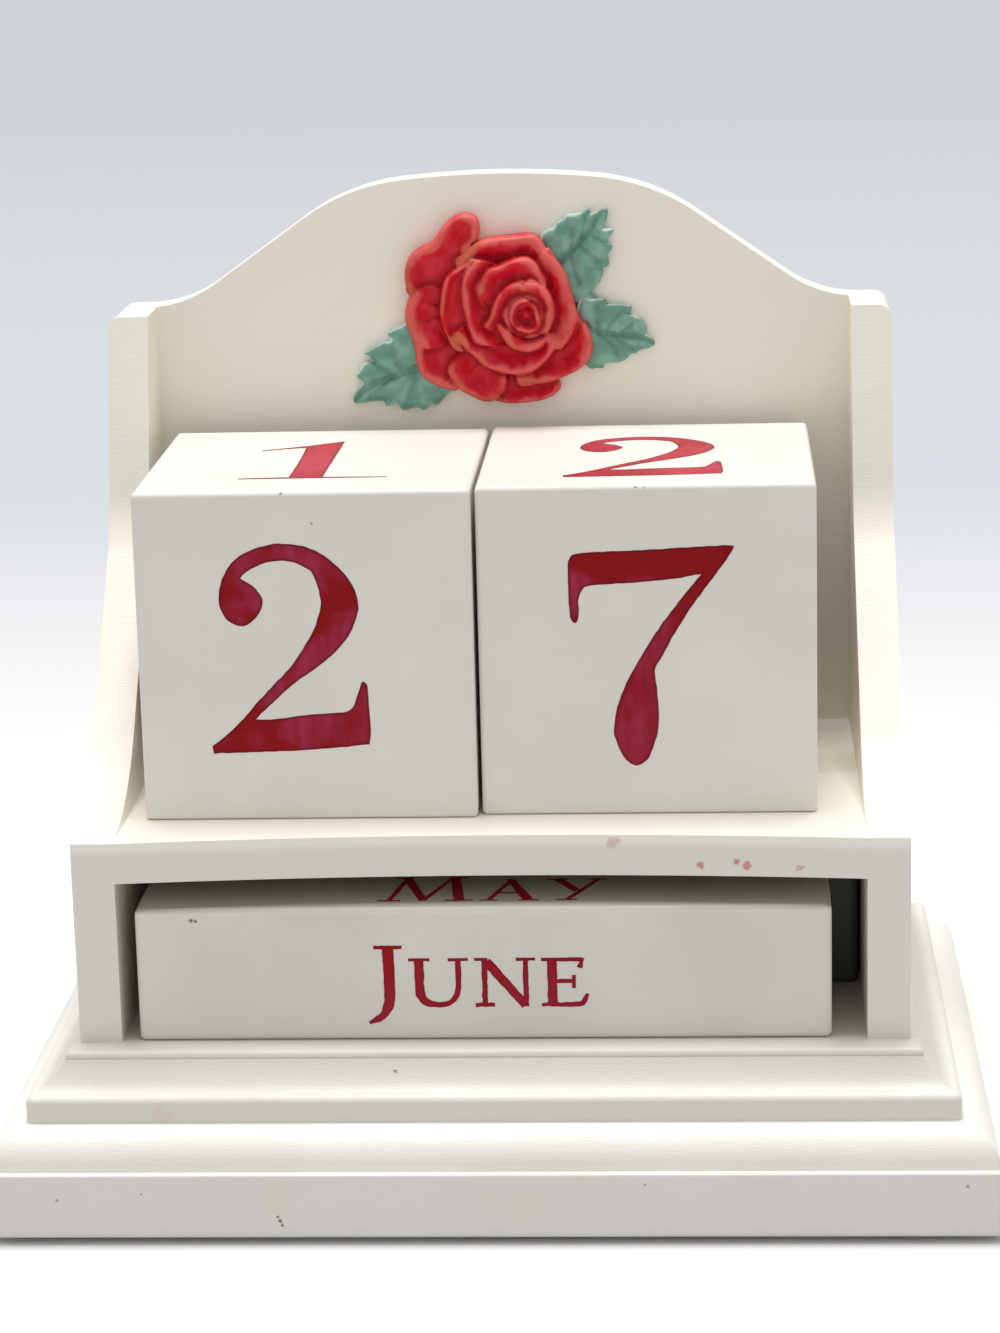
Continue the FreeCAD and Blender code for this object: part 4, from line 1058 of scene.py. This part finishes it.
# Each numeral: the outline, then the outlines of its holes, in millimetres from its lower
# left. A third value marks a corner.
NUMERALS = {
    "0": [[(12.0, 32.0), (19.8, 28.4), (23.5, 16.0), (19.8, 3.6), (12.0, 0.0), (4.2, 3.6),
           (0.5, 16.0), (4.2, 28.4)],
          [(12.0, 30.2), (16.4, 26.8), (18.3, 16.0), (16.4, 5.2), (12.0, 1.8), (7.6, 5.2),
           (5.7, 16.0), (7.6, 26.8)]],
    "1": [[(0.0, 0.0, 1), (22.2, 0.2, 1), (22.2, 0.6, 1), (12.6, 0.9, 1), (12.8, 10.0),
           (13.0, 20.0), (13.2, 30.0, 1), (7.6, 26.4), (0.9, 23.0, 1), (0.9, 22.5, 1),
           (6.9, 24.8), (7.6, 23.6), (7.7, 12.0), (7.5, 1.0, 1), (0.0, 0.5, 1)]],
    "2": [[(2.2, 23.5), (2.8, 26.5), (4.3, 29.0), (6.5, 30.6), (9.8, 31.7), (12.5, 31.8),
           (15.7, 31.2), (18.3, 29.8), (20.7, 27.5), (22.3, 25.0), (22.9, 22.5), (22.6, 20.8),
           (21.4, 18.0), (19.1, 15.3), (16.3, 13.0), (13.0, 10.7), (9.9, 8.0), (6.9, 5.2, 1),
           (10.0, 5.2), (13.8, 5.7), (17.5, 6.0), (20.4, 6.2), (21.6, 7.0), (22.2, 8.6),
           (23.0, 10.8, 1), (23.8, 10.3), (23.9, 7.3), (24.1, 3.5), (23.9, 1.2, 1),
           (14.9, 0.4), (4.9, 0.1), (0.5, 0.0, 1), (0.3, 1.2, 1), (2.5, 2.8), (5.1, 5.3),
           (7.7, 8.2), (10.2, 10.8), (12.8, 13.6), (15.8, 18.2), (17.3, 22.8), (16.3, 27.1),
           (14.8, 28.4), (12.8, 29.2), (10.4, 29.2), (8.2, 28.6), (6.4, 27.6), (5.5, 26.7, 1),
           (6.6, 26.0), (7.9, 25.0), (8.7, 23.4), (8.3, 21.7), (7.1, 20.2), (5.6, 19.5),
           (3.9, 20.0), (2.7, 21.3)]],
    "3": [[(2.4, 25.0), (3.6, 29.0), (8.0, 31.5), (12.4, 32.0), (18.4, 30.4), (21.4, 26.0),
           (20.8, 21.0), (17.6, 17.6), (15.4, 16.7, 1), (20.0, 15.2), (23.0, 11.4),
           (23.2, 7.2), (21.2, 3.0), (17.0, 0.6), (11.4, 0.0), (5.0, 1.0), (1.6, 4.0),
           (0.8, 7.2), (2.0, 9.8), (4.6, 10.4), (6.8, 9.0), (7.0, 6.6), (6.0, 4.4),
           (7.4, 2.6), (10.6, 1.9), (14.6, 3.0), (17.0, 6.0), (17.6, 9.6), (16.4, 13.4),
           (13.4, 15.4), (9.0, 15.8, 1), (9.0, 17.4, 1), (13.0, 17.8), (15.6, 20.4),
           (16.0, 24.0), (14.8, 28.0), (11.6, 30.0), (8.0, 29.8), (6.6, 28.8, 1),
           (7.9, 26.8), (7.6, 24.2), (5.4, 22.6), (3.2, 23.2)]],
    "4": [[(14.0, 32.0, 1), (18.6, 32.0, 1), (18.6, 11.2, 1), (23.8, 11.4, 1),
           (23.6, 8.6, 1), (18.6, 8.6, 1), (18.6, 4.6), (19.6, 2.4), (22.8, 1.5, 1),
           (22.8, 0.0, 1), (9.4, 0.0, 1), (9.4, 1.5, 1), (12.4, 2.4), (13.4, 4.6),
           (13.4, 8.6, 1), (0.4, 8.6, 1), (0.4, 10.8, 1)],
          [(3.6, 11.2, 1), (13.4, 11.2, 1), (13.4, 26.4, 1)]],
    "5": [[(3.8, 31.6, 1), (6.4, 31.0), (12.0, 30.6), (20.8, 32.0, 1), (20.0, 28.3),
           (17.0, 26.6), (11.0, 26.2), (6.0, 27.2, 1), (5.4, 19.8, 1), (8.6, 21.2),
           (13.0, 21.4), (19.0, 19.2), (23.0, 14.4), (23.2, 8.4), (20.0, 3.0), (13.6, 0.0),
           (7.0, 0.4), (2.4, 2.6), (1.0, 6.0), (2.0, 9.0), (4.6, 9.8), (6.9, 8.6),
           (7.1, 6.0), (6.2, 4.0), (7.6, 2.4), (11.0, 1.9), (15.2, 4.2), (17.6, 9.0),
           (17.2, 14.4), (14.6, 18.4), (10.6, 19.5), (7.0, 18.6), (4.6, 16.8, 1),
           (3.4, 17.0, 1)]],
    "6": [[(20.6, 24.3), (22.2, 26.4), (21.6, 29.2), (19.0, 31.2), (15.0, 32.0), (9.4, 30.2),
           (4.0, 25.0), (1.0, 17.0), (0.8, 9.4), (3.8, 3.0), (9.2, 0.2), (14.6, 0.1),
           (20.4, 2.8), (23.6, 8.6), (22.6, 14.6), (18.6, 18.4), (13.6, 19.2), (9.0, 17.8),
           (6.7, 15.6, 1), (7.2, 21.0), (9.4, 26.0), (12.6, 29.4), (15.6, 29.9),
           (17.0, 28.8, 1), (15.8, 26.8), (16.4, 24.6), (18.4, 23.4)],
          [(12.2, 17.3), (8.8, 15.2), (6.9, 11.0), (7.2, 5.6), (10.0, 2.2), (13.0, 1.8),
           (16.4, 4.4), (18.0, 9.4), (16.8, 14.2), (14.6, 16.8)]],
    "7": [[(0.0, 29.4), (0.2, 31.5), (1.9, 32.4), (10.4, 32.7), (18.4, 33.1), (23.6, 33.3),
           (24.4, 33.1, 1), (23.6, 31.6), (22.0, 29.4), (18.2, 24.3), (15.5, 20.0),
           (13.9, 17.1), (12.7, 15.1), (12.6, 13.7), (13.0, 10.1), (13.0, 5.9), (12.3, 3.2),
           (11.2, 0.8), (9.6, 0.0), (8.0, 1.0), (6.8, 3.5), (6.4, 5.5), (6.9, 8.8),
           (8.2, 12.4), (10.1, 15.9), (12.6, 20.0), (15.6, 24.1), (18.3, 27.5),
           (19.6, 29.1, 1), (15.7, 28.4), (10.3, 27.9), (3.2, 27.5), (2.0, 26.8),
           (1.5, 25.6), (1.4, 22.6), (0.9, 21.8), (0.2, 22.8), (0.0, 26.7)]],
    "8": [[(12.0, 32.0), (18.4, 30.4), (21.2, 25.8), (20.0, 20.4), (16.6, 17.2),
           (21.0, 14.4), (23.4, 9.0), (21.4, 3.0), (16.0, 0.3), (12.0, 0.0), (6.6, 0.8),
           (1.8, 4.4), (0.8, 9.0), (3.0, 13.4), (7.0, 16.4), (3.8, 19.6), (2.6, 24.0),
           (4.0, 28.6), (8.0, 31.4)],
          [(12.2, 30.3), (15.6, 28.0), (16.4, 24.4), (15.2, 20.4), (13.4, 18.7),
           (9.6, 20.6), (7.6, 23.8), (7.5, 27.0), (9.2, 29.6)],
          [(10.2, 15.2), (6.6, 12.6), (5.5, 8.4), (7.2, 3.8), (11.6, 1.7), (16.0, 3.0),
           (18.2, 6.8), (17.2, 10.6), (14.4, 13.2)]],
}
# The numeral on each face of a cube, and where its middle lies across and up that face, for
# those that are off the middle of the face.
HALF_FACE = 25.0
LEFT_NUMERALS = {"front": ("2", 22.5, 26.3), "top": ("1", 25.9, 24.9), "back": ("3",),
                 "left": ("0",), "right": ("5",), "bottom": ("4",)}
RIGHT_NUMERALS = {"front": ("7", 25.7, 24.2), "top": ("2", 24.6, 22.8), "back": ("8",),
                  "left": ("1",), "right": ("6",), "bottom": ("0",)}
# For each face of a block: the corner that its lower left stands on, then the directions
# across it, up it and out of it.
FACES = {"front": ((0, 0, 0), (1, 0, 0), (0, 0, 1), (0, -1, 0)),
         "back": ((0, 1, 1), (1, 0, 0), (0, 0, -1), (0, 1, 0)),
         "top": ((0, 0, 1), (1, 0, 0), (0, 1, 0), (0, 0, 1)),
         "bottom": ((0, 1, 0), (1, 0, 0), (0, -1, 0), (0, 0, -1)),
         "left": ((0, 1, 0), (0, -1, 0), (0, 0, 1), (-1, 0, 0)),
         "right": ((1, 0, 0), (0, 1, 0), (0, 0, 1), (1, 0, 0))}


def brushed_shape(outlines, holes, step):
    """Outlines with the slight wobble of a hand, and a test of what they cover."""
    shaken = []
    for outline in outlines + holes:
        shake = [waves(outline, QUIVER / step, layer) for layer in (1.0, 9.0)]
        shaken.append(outline + np.stack(shake, 1) * WOBBLE)
    solid, open_holes = shaken[:len(outlines)], shaken[len(outlines):]

    def covered(points):
        inside = np.max([depth_inside(points, outline) for outline in solid], axis=0)
        for outline in open_holes:
            inside = np.minimum(inside, -depth_inside(points, outline))
        return inside
    return shaken, covered


def film_patch(shaken, covered, step, across, up):
    """A thin film of paint as its points, its faces and each point's distance from its edge."""
    grid, _, _ = grid_over(shaken, step)
    inner = grid[covered(grid) > FILM_GAP * step]
    found, faces, border = fill_outline(shaken, inner, covered)
    kept, sheet = closed_sheet(faces, border)
    points = [(found[i][0] + across, found[i][1] + up, FILM_PROUD) for i in kept]
    points += [(x, y, -FILM_SUNK) for x, y, _ in points]
    return points, sheet, np.tile(covered(found[kept]), 2)


def painted_on(name, patches, block, ink, body):
    """One piece of paint film for all the patches on a block.

    A patch comes with the face that it lies on, and is what film_patch gives.
    """
    low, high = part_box(block)
    span = [high[axis] - low[axis] for axis in range(3)]
    points, faces, edge, thin = [], [], [], []
    for side, (places, shapes, inside) in patches:
        corner, across, up, out = FACES[side]
        origin = Vector([low[axis] + corner[axis] * span[axis] for axis in range(3)])
        start = len(points)
        points += [tuple(origin + (Vector(across) * x + Vector(up) * y + Vector(out) * z) * MM)
                   for x, y, z in places]
        faces += [tuple(i + start for i in face) for face in shapes]
        edge += list(inside)
        thin += [1.0 if side == "top" else 0.0] * len(places)
    film = closed_mesh(name, points, faces, {"edge": edge, "thin": thin})
    piece_from(name, film, ink, body)


def crimson_ink(name, crimson, streak, deep, thinned=0.0):
    """Crimson paint laid on with a small brush: streaky, and darker at its edges.

    streak is how plain the streaks are, deep how dark the edges are, and thinned how much
    lighter the paint was laid on the tops of the blocks.
    """
    ink = Finish(name)
    strokes = ink.grain(1.3 * MM, detail=3.0, squeeze=(1.0, 1.0, 0.22), turn=(0.0, 0.5, 0.0))
    patch = ink.grain(10.0 * MM, detail=3.0)
    share = ink.math("MULTIPLY", ink.ramp(strokes, 0.30, 0.66, 0.35, 1.0),
                     ink.ramp(patch, 0.44, 0.60))
    colour = ink.blend(ink.math("MULTIPLY", share, streak), crimson, INK_STREAK)
    washed = ink.math("MULTIPLY", ink.measured("thin"), ink.ramp(patch, 0.30, 0.60, 0.6, 1.0))
    colour = ink.blend(ink.math("MULTIPLY", washed, thinned), colour, INK_THIN)
    rim = ink.ramp(ink.measured("edge"), 0.05, 0.55, deep, 0.0)
    ink.relief((strokes, 0.03 * MM))
    return ink.coat(ink.blend(rim, colour, INK_DEEP), ink.ramp(strokes, 0.3, 0.7, 0.34, 0.46),
                    shine=0.15)


def numeral(digit, across=HALF_FACE, up=HALF_FACE):
    """A numeral with its middle at a place on its face, in millimetres."""
    shapes = [smooth_outline(outline, FILM_STEP) for outline in NUMERALS[digit]]
    middle = (shapes[0].min(0) + shapes[0].max(0)) / 2
    shaken, covered = brushed_shape(shapes[:1], shapes[1:], FILM_STEP)
    return film_patch(shaken, covered, FILM_GRID, across - middle[0], up - middle[1])


def shaded_blotches(least, most):
    """A tint's function: the share of duller white in blotches, painted shade that keeps a block
    darker than the house.
    """
    return lambda paint: paint.ramp(paint.grain(20.0 * MM), 0.30, 0.70, least, most)


CUBE_SHADE = screen(232, 229, 222)
CUBE_MARKS = [((-29.8, -24.0, 106.2), 0.5, CHIP, 0.8), ((22.1, -22.7, 106.2), 0.4, CHIP, 0.7),
              ((23.4, -22.7, 106.1), 0.3, CHIP, 0.7), ((-25.4, -24.0, 101.6), 0.3, CHIP, 0.6)]
numeral_ink = crimson_ink("numeral_ink", INK_CRIMSON, streak=0.85, deep=0.70, thinned=0.50)
for side, plan in (("left", LEFT_NUMERALS), ("right", RIGHT_NUMERALS)):
    repaint(f"number_cube_{side}",
            satin_paint(f"{side}_cube_paint", brush=(6.0, 6.0, 1.0),
                        tints=[(shaded_blotches(0.45, 0.85), CUBE_SHADE)], marks=CUBE_MARKS))
    painted_on(f"{side}_cube_numerals",
               [(face, numeral(*words)) for face, words in plan.items()],
               f"number_cube_{side}", numeral_ink, f"{side}_cube")


# ---- Month bars -----------------------------------------------------------------------
# Three square wooden bars that lie one behind another under the shelf. Each carries four
# months, lettered in crimson with a fine brush: a larger first letter, then small
# capitals. Turned and changed about, they show the month at the front.

# In millimetres: the heights of the small capitals and of the first one, and the gap between
# letters. Then how much the brush widens a stroke, the least gap between the line of a
# stroke and its marks, and the spacing of points inside a letter and along its edge.
CAPITAL, FIRST_CAPITAL, LETTER_GAP = 7.5, 9.5, 0.9
BRUSH, LEAST_GAP = 0.08, 1e-6
LETTER_GRID, LETTER_STEP = 0.34, 0.28
# How thick a serif is, in heights of a capital.
SERIF = 0.05
BARS = {"front": {"top": "MAY", "front": "JUNE", "bottom": "JULY", "back": "AUGUST"},
        "middle": {"top": "JANUARY", "front": "FEBRUARY", "bottom": "MARCH", "back": "APRIL"},
        "rear": {"top": "SEPTEMBER", "front": "OCTOBER", "bottom": "NOVEMBER",
                 "back": "DECEMBER"}}
# Lettered by hand, so no two words sit alike: how far a word is slid along its bar, how
# high its foot stands on the face, and how much taller its first and its other letters are.
WORDS = {"MAY": (1.30, 3.4, 1.22, 1.39), "JUNE": (-0.70, 5.2, 1.0, 1.0)}
PLAIN_WORD = (0.0, 5.0, 1.05, 1.10)


def foot(x, reach=0.21):
    """The serif at the foot of a stem."""
    return [(x - reach, SERIF / 2, SERIF), (x + reach, SERIF / 2, SERIF)]


def head(x, reach=0.21):
    """The serif at the head of a stem."""
    return [(x - reach, 1 - SERIF / 2, SERIF), (x + reach, 1 - SERIF / 2, SERIF)]


def stem(x, width=0.18, low=0.0, high=1.0):
    """An upright stroke."""
    return [(x, low, width), (x, high, width)]


# Each letter is a few strokes of the brush. A stroke is a line of (across, up, width), in
# heights of a capital. These are the strokes that more than one letter has.
TOP_BOW = [(0.22, 0.965, 0.07), (0.45, 0.965, 0.08), (0.66, 0.87, 0.13), (0.70, 0.76, 0.17),
           (0.64, 0.62, 0.13), (0.45, 0.53, 0.07), (0.22, 0.53, 0.07)]
ARMS = [[(0.02, 0.965, 0.06), (0.82, 0.965, 0.075)], [(0.84, 1.0, 0.05), (0.77, 0.79, 0.10)],
        [(0.23, 0.52, 0.075), (0.64, 0.52, 0.075)], [(0.66, 0.64, 0.06), (0.65, 0.37, 0.07)]]
SILL = [(0.02, 0.035, 0.06), (0.74, 0.04, 0.09), (0.86, 0.12, 0.10), (0.92, 0.26, 0.05)]
OPEN_BOWL = [(0.86, 0.79, 0.06), (0.79, 0.90, 0.08), (0.62, 0.965, 0.08), (0.40, 0.92, 0.12),
             (0.20, 0.72, 0.17), (0.15, 0.50, 0.185), (0.20, 0.27, 0.17), (0.40, 0.07, 0.11),
             (0.62, 0.035, 0.08), (0.82, 0.12, 0.07), (0.90, 0.22, 0.04)]
BARB = [(0.875, 0.98, 0.04), (0.875, 0.72, 0.07)]
LETTERS = {
    "A": [[(0.54, 1.00, 0.07), (0.13, 0.02, 0.09)], [(0.50, 1.00, 0.15), (0.92, 0.02, 0.19)],
          [(0.28, 0.36, 0.07), (0.76, 0.36, 0.07)], foot(0.13, 0.18), foot(0.92, 0.20)],
    "B": [stem(0.22), TOP_BOW,
          [(0.22, 0.53, 0.07), (0.50, 0.52, 0.08), (0.73, 0.43, 0.14), (0.79, 0.28, 0.18),
           (0.72, 0.11, 0.14), (0.50, 0.035, 0.08), (0.22, 0.035, 0.07)],
          head(0.17, 0.16), foot(0.17, 0.16)],
    "C": [OPEN_BOWL, BARB],
    "D": [stem(0.22),
          [(0.22, 0.965, 0.07), (0.50, 0.96, 0.08), (0.82, 0.80, 0.15), (0.91, 0.50, 0.19),
           (0.82, 0.20, 0.15), (0.50, 0.04, 0.08), (0.22, 0.035, 0.07)],
          head(0.17, 0.16), foot(0.17, 0.16)],
    "E": [stem(0.23), SILL] + ARMS,
    "F": [stem(0.23), foot(0.23)] + ARMS,
    "G": [OPEN_BOWL, stem(0.86, 0.17, 0.06, 0.42), [(0.68, 0.42, 0.05), (1.02, 0.42, 0.05)],
          BARB],
    "H": [stem(0.22), stem(0.90), head(0.22), head(0.90), foot(0.22), foot(0.90),
          [(0.22, 0.52, 0.07), (0.90, 0.52, 0.07)]],
    "I": [stem(0.21), head(0.21), foot(0.21)],
    "J": [[(0.34, 1.00, 0.17), (0.35, 0.60, 0.17), (0.35, 0.20, 0.17), (0.33, 0.04, 0.16),
           (0.23, -0.15, 0.11), (0.02, -0.26, 0.05)], head(0.34, 0.22)],
    "L": [stem(0.22), head(0.22),
          SILL[:1] + [(0.68, 0.04, 0.09), (0.79, 0.12, 0.10), (0.85, 0.28, 0.05)]],
    "M": [[(0.10, 0.02, 0.07), (0.32, 0.98, 0.07)], [(0.30, 1.00, 0.14), (0.64, 0.02, 0.13)],
          [(0.64, 0.02, 0.06), (1.04, 1.00, 0.06)], [(1.07, 1.00, 0.15), (1.20, 0.00, 0.16)],
          head(0.26, 0.14), head(1.12, 0.14), foot(0.10, 0.18), foot(1.20, 0.22)],
    "N": [stem(0.21, 0.10), [(0.25, 0.93, 0.18), (1.01, 0.02, 0.16)],
          stem(1.02, 0.10), head(0.14, 0.13), head(1.02, 0.19),
          [(0.02, 0.035, 0.07), (0.40, 0.035, 0.07)]],
    "O": [[(0.58, 0.965, 0.075), (0.50, 0.965, 0.08), (0.24, 0.80, 0.14), (0.14, 0.50, 0.185),
           (0.24, 0.20, 0.14), (0.50, 0.035, 0.08), (0.58, 0.035, 0.075)],
          [(0.48, 0.965, 0.075), (0.56, 0.965, 0.08), (0.82, 0.80, 0.14), (0.92, 0.50, 0.185),
           (0.82, 0.20, 0.14), (0.56, 0.035, 0.08), (0.48, 0.035, 0.075)]],
    "P": [stem(0.22),
          [(0.22, 0.965, 0.07), (0.50, 0.965, 0.08), (0.72, 0.87, 0.14), (0.77, 0.72, 0.18),
           (0.70, 0.56, 0.13), (0.50, 0.46, 0.07), (0.22, 0.46, 0.07)],
          head(0.17, 0.16), foot(0.22)],
    "R": [stem(0.22), TOP_BOW, [(0.46, 0.53, 0.10), (0.62, 0.34, 0.16), (0.93, 0.03, 0.16)],
          head(0.17, 0.16), foot(0.22), [(0.86, 0.025, 0.05), (1.08, 0.025, 0.05)]],
    "S": [[(0.62, 0.79, 0.06), (0.57, 0.91, 0.07), (0.40, 0.965, 0.08), (0.21, 0.91, 0.11),
           (0.13, 0.76, 0.15), (0.23, 0.61, 0.17), (0.42, 0.50, 0.18), (0.61, 0.38, 0.17),
           (0.67, 0.22, 0.14), (0.56, 0.08, 0.10), (0.36, 0.035, 0.08), (0.17, 0.08, 0.07),
           (0.10, 0.22, 0.06)],
          [(0.64, 0.98, 0.04), (0.63, 0.72, 0.07)], [(0.09, 0.02, 0.04), (0.10, 0.29, 0.07)]],
    "T": [stem(0.48), [(0.06, 0.96, 0.08), (0.90, 0.96, 0.08)], foot(0.48),
          [(0.04, 1.00, 0.05), (0.10, 0.78, 0.08)], [(0.92, 1.00, 0.05), (0.86, 0.78, 0.08)]],
    "U": [[(0.21, 1.00, 0.18), (0.21, 0.62, 0.18), (0.22, 0.30, 0.18), (0.32, 0.11, 0.15),
           (0.54, 0.045, 0.10), (0.78, 0.07, 0.09), (0.93, 0.22, 0.10), (0.98, 0.45, 0.10),
           (0.98, 1.00, 0.10)], head(0.21, 0.21), head(0.98, 0.20)],
    "V": [[(0.15, 1.00, 0.19), (0.55, 0.00, 0.15)], [(0.53, 0.02, 0.07), (0.91, 1.00, 0.08)],
          head(0.16, 0.20), head(0.90, 0.18)],
    "Y": [[(0.14, 1.00, 0.18), (0.56, 0.44, 0.16)], [(0.98, 1.00, 0.08), (0.38, 0.02, 0.09)],
          foot(0.38, 0.22), head(0.14, 0.20), head(0.97, 0.16)],
}


def brush_stroke(stroke, size, rise):
    """The outline of one stroke, for a letter of this size in millimetres and this rise."""
    marks = np.array([(x * size, y * size * rise) for x, y, _ in stroke])
    if len(stroke) > 2:
        line = smooth_outline(marks, LETTER_STEP, closed=False)
    else:
        start, end = marks
        pieces = max(2, round(float(np.hypot(*(end - start))) / LETTER_STEP))
        line = start + (end - start) * np.linspace(0, 1, pieces + 1)[:, None]
    run = np.gradient(line, axis=0)
    across = np.stack([-run[:, 1], run[:, 0]], 1) / np.hypot(*run.T)[:, None]
    widths = np.array([width * size + BRUSH for _, _, width in stroke])
    # The width along the line is a mean of those given, and the nearest count most.
    gaps = np.hypot(line[:, None, 0] - marks[:, 0], line[:, None, 1] - marks[:, 1]) + LEAST_GAP
    width = (widths / gaps ** 2).sum(1) / (1 / gaps ** 2).sum(1)
    half = across * width[:, None] / 2
    return np.vstack([line + half, (line - half)[::-1]])


def word(letters, length):
    """Patches of paint for a month on a bar's face."""
    slide, foot_height, first_rise, rise = WORDS.get(letters, PLAIN_WORD)
    laid, pen = [], 0.0
    for place, letter in enumerate(letters):
        size = CAPITAL if place else FIRST_CAPITAL
        strokes = [brush_stroke(stroke, size, rise if place else first_rise)
                   for stroke in LETTERS[letter]]
        left = min(stroke[:, 0].min() for stroke in strokes)
        right = max(stroke[:, 0].max() for stroke in strokes)
        laid.append((strokes, pen - left))
        pen += right - left + LETTER_GAP
    start = (length - pen + LETTER_GAP) / 2 + slide
    patches = []
    for strokes, place in laid:
        shaken, covered = brushed_shape(strokes, [], LETTER_STEP)
        patches.append(film_patch(shaken, covered, LETTER_GRID, start + place, foot_height))
    return patches


# The front bar's top edge is chipped, and its top is painted grey as shade under the shelf. The
# right end of the bar behind it is painted dark as shade deep in the slot, where it shows beside
# the front bar: the shade thickens from the first of the two places below up to the second.
SLOT_SHADE, TOP_SHADE, BAR_SHADE = screen(88, 84, 72), screen(178, 174, 163), screen(222, 219, 212)
LETTER_CRIMSON = screen(154, 12, 30)
GRIME_START, SHADE_END = 40.5 * MM, 50.5 * MM
BAR_MARKS = {"front": [((-44.2, -35.7, 44.4), 0.4, CHIP, 0.9),
                       ((-43.6, -35.7, 44.3), 0.4, CHIP, 0.9)], "middle": [], "rear": []}


def shaded_top(paint):
    """The share of painted shade on the top of a bar, under the shelf."""
    z = paint.axes()[2]
    return paint.ramp(z, bar_top - 0.9 * MM, bar_top - 0.1 * MM, 0.0, 0.9)


def shaded_end(paint):
    """The share of painted shade at the middle bar's right end, deep in the slot."""
    x = paint.axes()[0]
    ragged = paint.ramp(paint.grain(3.0 * MM), 0.3, 0.7, -1.5 * MM, 1.5 * MM)
    return paint.ramp(paint.math("ADD", x, ragged), GRIME_START, SHADE_END, 0.0, 0.97)


bar_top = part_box("month_bar_front")[1][2]
# The bars get more of the duller white, and a darker one, as painted shade.
bar_shade_blotches = shaded_blotches(0.70, 1.0)
BAR_TINTS = {"front": [(bar_shade_blotches, BAR_SHADE), (shaded_top, TOP_SHADE)],
             "middle": [(bar_shade_blotches, BAR_SHADE), (shaded_end, SLOT_SHADE)],
             "rear": [(bar_shade_blotches, BAR_SHADE)]}
letter_ink = crimson_ink("letter_ink", LETTER_CRIMSON, streak=0.30, deep=0.25)
for bar, months in BARS.items():
    repaint(f"month_bar_{bar}", satin_paint(f"{bar}_bar_paint", brush=(1.0, 6.0, 6.0),
                                            tints=BAR_TINTS[bar], marks=BAR_MARKS[bar]))
    low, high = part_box(f"month_bar_{bar}")
    painted_on(f"{bar}_bar_months",
               [(face, patch) for face, month in months.items()
                for patch in word(month, (high[0] - low[0]) / MM)],
               f"month_bar_{bar}", letter_ink, f"{bar}_bar")
